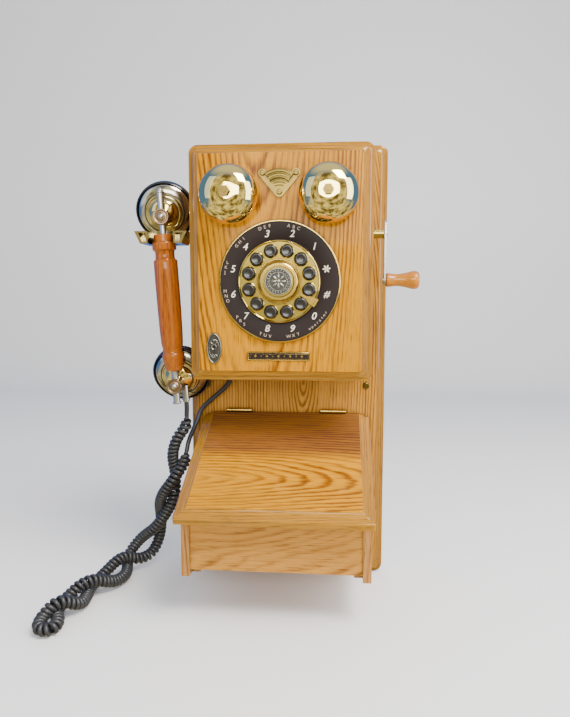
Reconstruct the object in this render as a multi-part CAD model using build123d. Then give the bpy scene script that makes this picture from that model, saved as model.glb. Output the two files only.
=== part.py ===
from build123d import *
import math
import os

# Wall crank telephone: a board on the wall carries an upper cabinet with a push-button dial and two
# gongs, a writing desk with a lifting lid, a crank on the right and a hung handset on the left.
# Millimetres. +X is to the viewer's right, the front faces -Y, +Z is up. Heights in this file are
# measured from the board's bottom edge, and save() moves the origin to the centre of its back face.

# Board
BOARD_W, BOARD_H, BOARD_T = 220.0, 480.0, 17.5
BOARD_STEPS = ((0.0, 9.0), (3.5, 4.5), (7.5, 4.0))
BOARD_CORNER = 9.0
BOARD_SCREW_X, BOARD_SCREW_Z = 89.3, 218.2
HANGER_X, HANGER_Z, HANGER_HOLE_R = 55.0, 426.0, 4.5
HANGER_PLATE_W, HANGER_PLATE_H, HANGER_PLATE_T = 22.0, 36.0, 1.6

# Upper cabinet
CABINET_HALF_W, CABINET_Z0, CABINET_Z1, CABINET_WALL = 81.0, 238.0, 460.0, 9.0
CABINET_FRONT_Y = -77.0
PANEL_W, PANEL_Z0, PANEL_Z1 = 183.4, 232.0, 465.8
PANEL_STEPS = ((0.0, 7.6), (4.6, 4.5), (10.7, 5.0))
PANEL_CORNER = 9.0
PANEL_Y = CABINET_FRONT_Y - sum(thickness for inset, thickness in PANEL_STEPS)

# Dial
DIAL_Z, DIAL_R, DIAL_RIM_W = 331.0, 60.0, 1.8
DIAL_BORE_R = 38.0
DIAL_PLATE_T = 2.6
WHEEL_R, WHEEL_T, WHEEL_GAP = 40.0, 2.4, 0.6
WHEEL_RING_R0, WHEEL_RING_R1, WHEEL_RING_T = 14.8, 19.4, 3.2
HUB_R, HUB_FRONT = 14.6, 13.0
EMBLEM_R, EMBLEM_T = 13.2, 1.4
BUTTON_RING_R, BUTTON_R, BUTTON_PLAY = 30.4, 6.0, 0.1
BUTTON_FLANGE_R, BUTTON_FLANGE_T, BUTTON_STEM_R = 7.2, 1.8, 2.6
BUTTON_FRONT, BUTTON_DOME = 4.6, 2.2
BUTTON_TRAVEL = 2.5
BUTTON_NAMES = ("star", "1", "2", "3", "4", "5", "6", "7", "8", "9", "0", "hash")
BUTTON_FIRST_DEG, BUTTON_STEP_DEG = 15.0, 30.0
STOP_DEG, STOP_R0, STOP_R1, STOP_LIP, STOP_T, STOP_GAP = -30.0, 23.5, 42.2, 1.8, 1.2, 1.1
STOP_SHAPE = ((STOP_R0, 0.9), (31.0, 1.5), (35.5, 3.7), (STOP_R1, 4.2))

# Fan bracket: each ridge of its arch is an inner radius, an outer radius and a height
FAN_CENTRE_Z, FAN_ARCH_R1, FAN_HALF_DEG = 415.0, 23.6, 36.0
FAN_RIDGES = ((13.6, 23.4, 3.2), (14.4, 16.0, 4.4), (17.4, 22.6, 4.6))

# Gongs
BELL_X, BELL_Z, BELL_R, BELL_WALL = 47.8, 413.6, 28.4, 1.3
BELL_RIM_GAP, BELL_LIP, BELL_H, BELL_BOSS_R = 10.0, 4.0, 22.5, 6.0
BELL_POST_R, BELL_SPACER_R, BELL_BASE_R = 2.1, 4.0, 7.5
NUT_ACROSS_R, NUT_T = 5.0, 3.6

# Desk
DESK_HALF_W, DESK_FRONT_Y, DESK_FOOT_Z, DESK_FRONT_Z0 = 91.0, -139.5, 47.8, 54.2
DESK_SIDE_T, DESK_FRONT_T, DESK_FLOOR_T, DESK_RECESS = 8.0, 9.0, 6.0, 1.5
LID_HALF_W, LID_T, LID_SLOPE_DEG = 93.0, 11.0, 25.5
LID_BACK_Y, LID_TOP_Z, LID_FRONT_Y = -19.2, 187.0, -165.5
LID_STEPS = ((0.0, 7.6), (5.0, 1.7), (10.5, 1.7))
LID_REST_GAP, LID_CORNER = 0.4, 1.8
HINGE_X, HINGE_LEN, HINGE_KNUCKLE_R, HINGE_PIN_R, HINGE_LEAF_T = 53.0, 28.0, 2.0, 0.9, 0.8
HINGE_Y, HINGE_Z, HINGE_LEAF_H = -19.7, 188.9, 13.0
RUNNING_PLAY = 0.06

# Crank
CRANK_Y, CRANK_Z, CRANK_RADIUS = -48.0, 381.3, 47.6
CRANK_SHAFT_R, CRANK_JOURNAL_R, CRANK_FLANGE_R = 4.9, 3.0, 9.5
CRANK_ARM_X, CRANK_ARM_T, CRANK_ARM_R0, CRANK_ARM_R1 = 104.5, 1.8, 7.2, 6.4
CRANK_HANDLE_X0, CRANK_HANDLE_X1, CRANK_PIN_R = 106.6, 140.6, 2.4

# Handset: its own axis is +Z with the receiver clamp at zero and the cups towards +Y
HANDSET_X, HANDSET_Y, HANDSET_Z, HANDSET_TILT_DEG = -126.0, -62.0, 398.7, -3.7
CLAMP_SPACING, CUP_TILT_DEG, RECEIVER_YAW_DEG = 177.1, 19.8, 6.0
ROD_R, ROD_TOP, ROD_BOTTOM = 3.6, 25.0, -194.6
CLAMP_R, CLAMP_Y0, CLAMP_Y1 = 8.0, -6.4, 8.0
GRIP_TOP, GRIP_END = -18.0, -160.8
CUP_R, CUP_WALL, CAP_R = 30.2, 1.3, 31.8
CUP_Y0, CUP_Y1, CAP_Y1 = 12.4, 30.4, 36.0
GLAND_X, GLAND_Y, GLAND_Z0, GLAND_Z1, GLAND_R = 6.2, 15.0, -20.0, -2.0, 3.5

# Cradle hook
FORK_Z0, FORK_Z1, FORK_LIP_Z = 371.0, 383.6, 386.6
FORK_GAP_HALF, FORK_OUTER_TOP, FORK_OUTER_BOTTOM = 13.6, 27.6, 21.6
FORK_WALL, FORK_POCKET = 1.8, 9.0
FORK_FRONT_Y, FORK_BAR_Y0, FORK_BAR_Y1 = -74.0, -48.4, -42.0
HOOK_PIVOT_X, HOOK_PIVOT_Z, HOOK_PIN_R = -52.0, 378.6, 2.0
HOOK_ARM_Z0, HOOK_ARM_Z1, HOOK_TAIL_X = 375.1, 382.1, -34.0

# Handset cord: straight leads at both ends and one long curly stretch, folded back and twisted on itself
CORD_WIRE_D, CORD_COIL_D = 5.0, 13.4
GROMMET_X, GROMMET_Y, GROMMET_R = -60.0, -26.0, 5.0
LEAD_IN_ROUTE = (
    (-60, -26, 233.5), (-60, -26, 225.5), (-70, -24, 213), (-83.5, -23.4, 202), (-96.5, -24.2, 190),
    (-100.5, -28.5, 176), (-107, -40, 158), (-108.5, -44, 146))
COIL_ROUTE = (
    (-108.5, -44, 146), (-110, -48, 134), (-121, -53, 117), (-142, -40, 90), (-147, -17, 62),
    (-150, -10, 36), (-158, -17, 15), (-171, -32, 13), (-184, -46, 25), (-200, -70, 10),
    (-204, -90, 7.4), (-200, -108, 7.4), (-197, -131, 9), (-211, -149, 23.5), (-223, -160, 11),
    (-220, -175, 7.4), (-206, -175, 7.4), (-206, -160, 7.4), (-216, -145, 7.4), (-218, -125, 9),
    (-200, -106, 25), (-182, -82, 9), (-176, -60, 7.4), (-180, -42, 7.4), (-186, -26, 15),
    (-172, -17, 34), (-147, -33, 54), (-125, -37, 88), (-124, -33, 116), (-126, -42, 140),
    (-119, -47, 161), (-107.0, -47.2, 175.5), (-107.0, -47.2, 186))
LEAD_OUT_RISE, LEAD_OUT_STRAIGHT = 4.0, 7.0


def save(name, *shapes):
    moved = [Pos(0, 0, -BOARD_H / 2) * shape for shape in shapes]
    whole = moved[0] if len(moved) == 1 else Compound(moved)
    export_step(whole, os.path.join("parts", name + ".step"))


def box(x0, x1, y0, y1, z0, z1):
    return Pos((x0 + x1) / 2, (y0 + y1) / 2, (z0 + z1) / 2) * Box(x1 - x0, abs(y1 - y0), z1 - z0)


def rod_x(radius, x0, x1, y, z):
    return Pos((x0 + x1) / 2, y, z) * Rot(0, 90, 0) * Cylinder(radius, x1 - x0)


def rod_y(radius, y0, y1, x, z):
    return Pos(x, (y0 + y1) / 2, z) * Rot(90, 0, 0) * Cylinder(radius, abs(y1 - y0))


def rod_z(radius, z0, z1, x, y):
    return Pos(x, y, (z0 + z1) / 2) * Cylinder(radius, z1 - z0)


def front_plane(y):
    return Plane.XZ.offset(-y)


def moulded_board(width, height, z_middle, y_back, steps, corner):
    """A board whose front edge steps back: each step is an inset and a thickness."""
    solid = None
    y = y_back
    for inset, thickness in steps:
        outline = RectangleRounded(width - 2 * inset, height - 2 * inset, corner)
        layer = extrude(front_plane(y) * Pos(0, z_middle) * outline, thickness)
        solid = layer if solid is None else solid + layer
        y -= thickness
    return solid


def turned_y(profile, x=0.0, z=0.0):
    """A turned piece about a line along Y, from (radius, y) points."""
    return Pos(x, 0, z) * revolve(make_face(Polyline(*profile, close=True)), Axis.Y)


def hexagon_y(across_radius, y0, y1, x, z):
    outline = RegularPolygon(across_radius, 6)
    return extrude(front_plane(y0) * Pos(x, z) * outline, abs(y1 - y0))


def screw_y(x, z, y_seat, head_r, head_t, shank_r, shank_len):
    """A round-head wood screw driven towards +Y, its head standing in front of the seat."""
    head = rod_y(head_r, y_seat - head_t, y_seat, x, z)
    head = fillet(head.edges().group_by(Axis.Y)[0], head_t * 0.6)
    slot = box(x - head_r, x + head_r, y_seat - head_t, y_seat - head_t * 0.6, z - 0.35, z + 0.35)
    return head - slot + rod_y(shank_r, y_seat, y_seat + shank_len, x, z)


def tube_path(route):
    """Straight runs with tangent arcs as large as the runs allow."""
    points = [Vector(*p) for p in route]
    radii = []
    for a, b, c in zip(points, points[1:], points[2:]):
        turn = math.radians((b - a).get_angle(c - b))
        radii.append(0.45 * min((b - a).length, (c - b).length) / math.tan(turn / 2))
    return FilletPolyline(*points, radius=radii), radii


def cord_tube(name, route, diameter):
    path, radii = tube_path(route)
    section = Plane(origin=path @ 0, z_dir=path % 0) * Circle(diameter / 2)
    solid = sweep(section, path=path)
    expected = math.pi * diameter ** 2 / 4 * path.length
    print(f"{name}: length {path.length:.1f}, smallest radius {min(radii):.1f}, "
          f"volume / expected {solid.volume / expected:.4f}")
    print("   radii", " ".join(f"{r:.0f}" for r in radii))
    save(name, solid)


def make_board():
    board = moulded_board(BOARD_W, BOARD_H, BOARD_H / 2, 0, BOARD_STEPS, BOARD_CORNER)
    for side in (-1, 1):
        board -= rod_y(2.0, -BOARD_T, -3, side * BOARD_SCREW_X, BOARD_SCREW_Z)
        x = side * HANGER_X
        board -= box(x - HANGER_PLATE_W / 2, x + HANGER_PLATE_W / 2, -HANGER_PLATE_T, 0,
                     HANGER_Z - HANGER_PLATE_H / 2, HANGER_Z + HANGER_PLATE_H / 2)
        board -= box(x - 7, x + 7, -12, -HANGER_PLATE_T, HANGER_Z - 7, HANGER_Z + 7)
    save("backboard", board)
    return [screw_y(side * BOARD_SCREW_X, BOARD_SCREW_Z, -BOARD_T, 3.6, 1.8, 2.0, 12)
            for side in (-1, 1)]


def make_hangers():
    plates = []
    for side in (-1, 1):
        x = side * HANGER_X
        plate = box(x - HANGER_PLATE_W / 2, x + HANGER_PLATE_W / 2, -HANGER_PLATE_T, 0,
                    HANGER_Z - HANGER_PLATE_H / 2, HANGER_Z + HANGER_PLATE_H / 2)
        plate -= rod_y(HANGER_HOLE_R, -HANGER_PLATE_T, 0, x, HANGER_Z)
        plates.append(plate)
    save("hanger_plates", *plates)


def make_cabinet():
    inner = CABINET_HALF_W - CABINET_WALL
    hook_slot = box(-CABINET_HALF_W, -inner, -51.5, -39.5, 371, 392)
    left = box(-CABINET_HALF_W, -inner, CABINET_FRONT_Y, -BOARD_T, CABINET_Z0, CABINET_Z1)
    save("cabinet_side_left", left - hook_slot)
    right = box(inner, CABINET_HALF_W, CABINET_FRONT_Y, -BOARD_T, CABINET_Z0, CABINET_Z1)
    save("cabinet_side_right", right - rod_x(5.5, inner, CABINET_HALF_W, CRANK_Y, CRANK_Z))
    save("cabinet_top", box(-inner, inner, CABINET_FRONT_Y, -BOARD_T, CABINET_Z1 - CABINET_WALL, CABINET_Z1))
    bottom = box(-inner, inner, CABINET_FRONT_Y, -BOARD_T, CABINET_Z0, CABINET_Z0 + CABINET_WALL)
    bottom -= rod_z(GROMMET_R, CABINET_Z0, CABINET_Z0 + CABINET_WALL, GROMMET_X, GROMMET_Y)
    bottom -= box(30, 46, -52, -38, CABINET_Z0, CABINET_Z0 + CABINET_WALL)
    save("cabinet_bottom", bottom)
    jack = box(30, 46, -52, -38, CABINET_Z0, CABINET_Z0 + 18)
    save("line_jack", jack - box(32, 44, -49, -41, CABINET_Z0, CABINET_Z0 + 14))
    grommet = rod_z(GROMMET_R, CABINET_Z0 - 1.5, CABINET_Z0 + CABINET_WALL + 2, GROMMET_X, GROMMET_Y)
    nose = Pos(GROMMET_X, GROMMET_Y, CABINET_Z0 - 2.8) * Cone(3.4, 6.6, 3.4)
    save("cord_grommet", grommet + nose)


def make_panel():
    panel = moulded_board(PANEL_W, PANEL_Z1 - PANEL_Z0, (PANEL_Z0 + PANEL_Z1) / 2,
                          CABINET_FRONT_Y, PANEL_STEPS, PANEL_CORNER)
    panel -= rod_y(DIAL_BORE_R, PANEL_Y, CABINET_FRONT_Y, 0, DIAL_Z)
    for side in (-1, 1):
        panel -= rod_y(BELL_POST_R, PANEL_Y, CABINET_FRONT_Y, side * BELL_X, BELL_Z)
    save("front_panel", panel)

    oval = Ellipse(7.6, 15.5) - Pos(0, 1.6) * Circle(1.9) - Pos(0, -1.8) * Rectangle(1.6, 6)
    plate = extrude(front_plane(PANEL_Y) * Pos(-65.7, 265) * oval, 1.8)
    save("key_escutcheon", plate)
    save("name_plate", extrude(front_plane(PANEL_Y) * Pos(-1, 257.5) * RectangleRounded(61.6, 8.6, 0.8), 1.2))


def make_fan_bracket():
    """A brass fan: a round tip, two screw lugs at the top and a raised ridged arch between them."""
    lug_x, lug_z, tip_z = 16.3, 435.2, 417.2
    lugs = [Pos(side * lug_x, lug_z) * Circle(4.1) for side in (-1, 1)]
    tip = Pos(0, tip_z) * Circle(4.8)
    hull = make_hull([*lugs[0].edges(), *lugs[1].edges(), *tip.edges()])
    outline = (hull & Pos(0, FAN_CENTRE_Z) * Circle(FAN_ARCH_R1)) + lugs[0] + lugs[1]
    plate = extrude(front_plane(PANEL_Y) * outline, 1.6)
    reach = 40.0
    half = reach * math.tan(math.radians(FAN_HALF_DEG))
    wedge = make_face(Polyline((0, FAN_CENTRE_Z), (half, FAN_CENTRE_Z + reach), (-half, FAN_CENTRE_Z + reach),
                               close=True))
    for inner, outer, height in FAN_RIDGES:
        ring = Pos(0, FAN_CENTRE_Z) * (Circle(outer) - Circle(inner))
        plate += extrude(front_plane(PANEL_Y) * (ring & wedge), height)
    seats = ((-lug_x, lug_z), (lug_x, lug_z), (0, tip_z))
    for x, z in seats:
        plate -= rod_y(1.5, PANEL_Y - 4, PANEL_Y, x, z)
    save("fan_bracket", plate)
    return [screw_y(x, z, PANEL_Y - 1.6, 2.7, 1.5, 1.5, 1.6) for x, z in seats]


def bell_curve(radius, height, y_lip):
    """A quarter of an oval from the lip to the flat boss, as (radius, y) points."""
    steps = 6
    angles = [math.pi / 2 * k / steps for k in range(steps + 1)]
    return [(BELL_BOSS_R + (radius - BELL_BOSS_R) * math.cos(a), y_lip - height * math.sin(a)) for a in angles]


def bell_profile():
    """The gong's section: a straight lip, a quarter oval and a flat boss with the post's hole."""
    rim_y = PANEL_Y - BELL_RIM_GAP
    lip_y = rim_y - BELL_LIP
    dome = BELL_H - BELL_LIP
    outer = bell_curve(BELL_R, dome, lip_y)
    inner = bell_curve(BELL_R - BELL_WALL, dome - BELL_WALL, lip_y)
    with BuildSketch() as section:
        with BuildLine():
            Line((BELL_R, rim_y), outer[0])
            Spline(*outer, tangents=((0, -1), (-1, 0)))
            Polyline(outer[-1], (BELL_POST_R, outer[-1][1]), (BELL_POST_R, inner[-1][1]), inner[-1])
            Spline(*inner, tangents=((0, -1), (-1, 0)))
            Polyline(inner[0], (BELL_R - BELL_WALL, rim_y), (BELL_R, rim_y))
        make_face()
    return section.sketch


def make_bells():
    rim_y = PANEL_Y - BELL_RIM_GAP
    crown_y = rim_y - BELL_H
    bell = revolve(bell_profile(), Axis.Y)
    save("bell_left", Pos(-BELL_X, 0, BELL_Z) * bell)
    save("bell_right", Pos(BELL_X, 0, BELL_Z) * bell)
    posts = []
    for side in (-1, 1):
        x = side * BELL_X
        post = rod_y(BELL_POST_R, crown_y - 4.2, CABINET_FRONT_Y + 4, x, BELL_Z)
        post += rod_y(BELL_SPACER_R, crown_y + BELL_WALL, PANEL_Y, x, BELL_Z)
        post += hexagon_y(NUT_ACROSS_R, crown_y, crown_y - NUT_T, x, BELL_Z)
        posts.append(post + rod_y(BELL_BASE_R, PANEL_Y - 1.6, PANEL_Y, x, BELL_Z))
    save("bell_posts", *posts)


def make_dial():
    plate_y = PANEL_Y - DIAL_PLATE_T
    wheel_back = plate_y - WHEEL_GAP
    wheel_front = wheel_back - WHEEL_T
    rim = turned_y([(DIAL_R, PANEL_Y), (DIAL_R, plate_y + 0.8), (DIAL_R - 0.8, plate_y - 0.4),
                    (DIAL_R - DIAL_RIM_W, plate_y - 0.4), (DIAL_R - DIAL_RIM_W, PANEL_Y)], 0, DIAL_Z)
    save("dial_rim", rim)
    plate = rod_y(DIAL_R - DIAL_RIM_W, plate_y, PANEL_Y, 0, DIAL_Z)
    save("dial_plate", plate - rod_y(DIAL_BORE_R, plate_y, PANEL_Y, 0, DIAL_Z))

    wheel = rod_y(WHEEL_R, wheel_front, wheel_back, 0, DIAL_Z)
    wheel += turned_y([(WHEEL_RING_R0, wheel_front), (WHEEL_RING_R1, wheel_front),
                       (WHEEL_RING_R1 - 1.2, wheel_front - WHEEL_RING_T),
                       (WHEEL_RING_R0, wheel_front - WHEEL_RING_T)], 0, DIAL_Z)
    hub_y = PANEL_Y - HUB_FRONT
    wheel += rod_y(HUB_R, hub_y, wheel_front, 0, DIAL_Z) - rod_y(EMBLEM_R, hub_y, hub_y + EMBLEM_T, 0, DIAL_Z)
    wheel += rod_y(8, wheel_back, CABINET_FRONT_Y - 1, 0, DIAL_Z)
    board = rod_y(DIAL_BORE_R, CABINET_FRONT_Y - 1, CABINET_FRONT_Y + 0.6, 0, DIAL_Z)
    for index, name in enumerate(BUTTON_NAMES):
        angle = math.radians(BUTTON_FIRST_DEG + BUTTON_STEP_DEG * index)
        x, z = BUTTON_RING_R * math.cos(angle), DIAL_Z + BUTTON_RING_R * math.sin(angle)
        wheel -= rod_y(BUTTON_R + BUTTON_PLAY, wheel_front, wheel_back, x, z)
        front_y = wheel_front - BUTTON_FRONT
        cap = rod_y(BUTTON_R, front_y, wheel_back + 0.2, x, z)
        cap = fillet(cap.edges().group_by(Axis.Y)[0], BUTTON_DOME)
        cap += rod_y(BUTTON_FLANGE_R, wheel_back + 0.2, wheel_back + 0.2 + BUTTON_FLANGE_T, x, z)
        stem_end = CABINET_FRONT_Y - 2.8 - BUTTON_TRAVEL
        save(f"button_{name}", cap + rod_y(BUTTON_STEM_R, wheel_back, stem_end, x, z))
        board += rod_y(2.4, CABINET_FRONT_Y - 2.5, CABINET_FRONT_Y - 1, x, z)
    save("finger_wheel", wheel)
    save("keypad_board", board)
    save("dial_emblem", rod_y(EMBLEM_R, hub_y - 0.8, hub_y + EMBLEM_T, 0, DIAL_Z))

    stop_y = wheel_front - STOP_GAP
    outline = [*STOP_SHAPE, *((along, -half) for along, half in reversed(STOP_SHAPE))]
    bar = extrude(front_plane(stop_y) * make_face(Polyline(*outline, close=True)), STOP_T)
    half = STOP_SHAPE[-1][1]
    lip = box(STOP_R1 - STOP_LIP, STOP_R1, stop_y - 2 * STOP_T, plate_y, -half, half)
    save("finger_stop", Pos(0, 0, DIAL_Z) * Rot(0, -STOP_DEG, 0) * (bar + lip))


def lid_underside(y):
    slope = math.radians(LID_SLOPE_DEG)
    return LID_TOP_Z + (y - LID_BACK_Y) * math.tan(slope) - LID_T / math.cos(slope)


def make_desk():
    sides = []
    for side in (-1, 1):
        outline = Polyline((-BOARD_T, DESK_FOOT_Z), (DESK_FRONT_Y, DESK_FOOT_Z),
                           (DESK_FRONT_Y, lid_underside(DESK_FRONT_Y) - LID_REST_GAP),
                           (-BOARD_T - 4, lid_underside(-BOARD_T - 4) - LID_REST_GAP),
                           (-BOARD_T, lid_underside(-BOARD_T - 4) - LID_REST_GAP), close=True)
        x = side * (DESK_HALF_W - DESK_SIDE_T / 2)
        side_board = extrude(Plane.YZ.offset(x - DESK_SIDE_T / 2) * make_face(outline), DESK_SIDE_T)
        sides.append(side_board)
    save("desk_sides", *sides)
    inner = DESK_HALF_W - DESK_SIDE_T
    y0, y1 = DESK_FRONT_Y + DESK_RECESS, DESK_FRONT_Y + DESK_RECESS + DESK_FRONT_T
    front = Polyline((y0, DESK_FRONT_Z0), (y1, DESK_FRONT_Z0), (y1, lid_underside(y1) - LID_REST_GAP),
                     (y0, lid_underside(y0) - LID_REST_GAP), close=True)
    save("desk_front", extrude(Plane.YZ.offset(-inner) * make_face(front), 2 * inner))
    floor_z = DESK_FRONT_Z0 + 2
    save("desk_floor", box(-inner, inner, y1, -BOARD_T, floor_z, floor_z + DESK_FLOOR_T))
    panel_blocks = [box(x - 7, x + 7, CABINET_FRONT_Y, CABINET_FRONT_Y + 14, z - 7, z + 7)
                    for x in (-65, 65) for z in (254, 444)]
    block = 8.0
    blocks = [box(x - block / 2, x + block / 2, y - block / 2, y + block / 2, DESK_FOOT_Z, floor_z)
              for x in (block / 2 - inner, inner - block / 2) for y in (y1 + block / 2, -BOARD_T - block / 2)]
    save("corner_blocks", *blocks, *panel_blocks)


def make_lid():
    slope = math.radians(LID_SLOPE_DEG)
    length = (LID_BACK_Y - LID_FRONT_Y) / math.cos(slope)
    extra = 12.0
    solid = None
    z = -LID_T
    for inset, thickness in LID_STEPS:
        outline = Pos(0, (extra - length + inset) / 2) * RectangleRounded(
            2 * (LID_HALF_W - inset), length + extra - inset, LID_CORNER)
        layer = extrude(Plane.XY.offset(z) * outline, thickness)
        solid = layer if solid is None else solid + layer
        z += thickness
    lid = Pos(0, LID_BACK_Y, LID_TOP_Z) * Rot(LID_SLOPE_DEG, 0, 0) * solid
    lid -= box(-LID_HALF_W, LID_HALF_W, LID_BACK_Y, 0, LID_TOP_Z - 40, LID_TOP_Z + 20)
    for side in (-1, 1):
        x0, x1 = side * HINGE_X - HINGE_LEN / 2, side * HINGE_X + HINGE_LEN / 2
        lid -= rod_x(HINGE_KNUCKLE_R + 0.3, x0 - 0.3, x1 + 0.3, HINGE_Y, HINGE_Z)
    save("desk_lid", lid)


def make_hinges():
    fixed, moving = [], []
    third = HINGE_LEN / 3
    for side in (-1, 1):
        x = side * HINGE_X
        x0, x1 = x - HINGE_LEN / 2, x + HINGE_LEN / 2
        pin_hole = rod_x(HINGE_PIN_R + RUNNING_PLAY, x0, x1, HINGE_Y, HINGE_Z)
        centre = rod_x(HINGE_KNUCKLE_R, x - third / 2, x + third / 2, HINGE_Y, HINGE_Z)
        wall_leaf = box(x0, x1, -BOARD_T - HINGE_LEAF_T, -BOARD_T, HINGE_Z - HINGE_LEAF_H,
                        HINGE_Z - HINGE_KNUCKLE_R - 0.3)
        neck = box(x - third / 2, x + third / 2, -BOARD_T - HINGE_LEAF_T, -BOARD_T,
                   HINGE_Z - HINGE_LEAF_H, HINGE_Z)
        pin = rod_x(HINGE_PIN_R, x0 - 0.4, x1 + 0.4, HINGE_Y, HINGE_Z)
        fixed.append(wall_leaf + neck + centre + pin)
        gap = 0.15
        ends = [(x0, x - third / 2 - gap), (x + third / 2 + gap, x1)]
        leaf = box(x0, x1, LID_BACK_Y, LID_BACK_Y + HINGE_LEAF_T, HINGE_Z - HINGE_LEAF_H,
                   HINGE_Z - HINGE_KNUCKLE_R - 0.3)
        for a, b in ends:
            leaf += rod_x(HINGE_KNUCKLE_R, a, b, HINGE_Y, HINGE_Z)
            leaf += box(a, b, LID_BACK_Y, LID_BACK_Y + HINGE_LEAF_T, HINGE_Z - HINGE_LEAF_H, HINGE_Z)
        moving.append(leaf - pin_hole)
    save("hinge_leaves_board", *fixed)
    save("hinge_leaves_lid", *moving)


def make_crank():
    wall_x0 = CABINET_HALF_W - CABINET_WALL
    bush = rod_x(5.5, wall_x0, CABINET_HALF_W, CRANK_Y, CRANK_Z)
    bush += rod_x(CRANK_FLANGE_R, CABINET_HALF_W, CABINET_HALF_W + 2.5, CRANK_Y, CRANK_Z)
    bush -= rod_x(CRANK_JOURNAL_R + RUNNING_PLAY, wall_x0, CABINET_HALF_W + 2.5, CRANK_Y, CRANK_Z)
    save("crank_bush", bush)
    shaft = rod_x(CRANK_SHAFT_R, CABINET_HALF_W + 2.9, CRANK_ARM_X, CRANK_Y, CRANK_Z)
    shaft += rod_x(CRANK_JOURNAL_R, 62, CABINET_HALF_W + 2.9, CRANK_Y, CRANK_Z)
    arm_face_x = CRANK_ARM_X + CRANK_ARM_T
    shaft += rod_x(CRANK_JOURNAL_R, CRANK_ARM_X, arm_face_x, CRANK_Y, CRANK_Z)
    shaft += rod_x(CRANK_JOURNAL_R + 1.2, arm_face_x, arm_face_x + 1.1, CRANK_Y, CRANK_Z)
    save("crank_shaft", shaft + rod_x(6.5, 65, 70, CRANK_Y, CRANK_Z))

    pin_z = CRANK_Z - CRANK_RADIUS
    arm_plane = Plane.YZ.offset(CRANK_ARM_X)
    outline = make_hull([*(Pos(CRANK_Y, CRANK_Z + 6.6) * Circle(CRANK_ARM_R0)).edges(),
                         *(Pos(CRANK_Y, pin_z) * Circle(CRANK_ARM_R1)).edges()])
    arm = extrude(arm_plane * outline, CRANK_ARM_T)
    arm -= rod_x(CRANK_JOURNAL_R, CRANK_ARM_X, CRANK_ARM_X + CRANK_ARM_T, CRANK_Y, CRANK_Z)
    pin = rod_x(CRANK_PIN_R, CRANK_ARM_X, CRANK_HANDLE_X1 - 1.6, CRANK_Y, pin_z)
    pin += rod_x(CRANK_PIN_R + 1.4, CRANK_ARM_X - 1.2, CRANK_ARM_X, CRANK_Y, pin_z)
    pin += rod_x(CRANK_PIN_R + 1.4, CRANK_HANDLE_X1 - 1.6, CRANK_HANDLE_X1 - 0.6, CRANK_Y, pin_z)
    save("crank_arm", arm + pin)

    x0, x1 = CRANK_HANDLE_X0, CRANK_HANDLE_X1
    with BuildSketch() as section:
        with BuildLine():
            Line((x0, 0), (x0, 6.6))
            Spline((x0, 6.6), (x0 + 1.2, 7.2), (x0 + 11, 6.3), (x0 + 20, 7.3), (x0 + 27.5, 9.4), (x1 - 2, 8.8))
            Spline((x1 - 2, 8.8), (x1 - 0.4, 7.4), (x1, 5.4))
            Polyline((x1, 5.4), (x1, 0), (x0, 0))
        make_face()
    handle = revolve(section.sketch, Axis.X)
    handle -= Pos((x0 + x1) / 2, 0, 0) * Rot(0, 90, 0) * Cylinder(CRANK_PIN_R + RUNNING_PLAY, x1 - x0)
    handle -= Pos(x1 - 1, 0, 0) * Rot(0, 90, 0) * Cylinder(CRANK_PIN_R + 1.9, 2)
    save("crank_handle", Pos(0, CRANK_Y, pin_z) * handle)


def handset_frame():
    return Pos(HANDSET_X, HANDSET_Y, HANDSET_Z) * Rot(0, HANDSET_TILT_DEG, 0)


def cup_profile():
    """The stepped back of a cup as (radius, y) points, outside then inside."""
    outer = [(0, CUP_Y0), (9.5, CUP_Y0 + 0.6), (14.6, CUP_Y0 + 3.4), (15.6, CUP_Y0 + 6.2), (18.6, CUP_Y0 + 7.2),
             (20.4, CUP_Y0 + 9.4), (25.6, CUP_Y0 + 12), (CUP_R, CUP_Y0 + 17), (CUP_R, CUP_Y1)]
    inner = [(CUP_R - CUP_WALL, CUP_Y1), (CUP_R - CUP_WALL, CUP_Y0 + 17.6), (24.8, CUP_Y0 + 13.4),
             (19.4, CUP_Y0 + 10.8), (14.2, CUP_Y0 + 8), (9, CUP_Y0 + 2.2), (0, CUP_Y0 + 1.6)]
    return outer + inner


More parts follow.
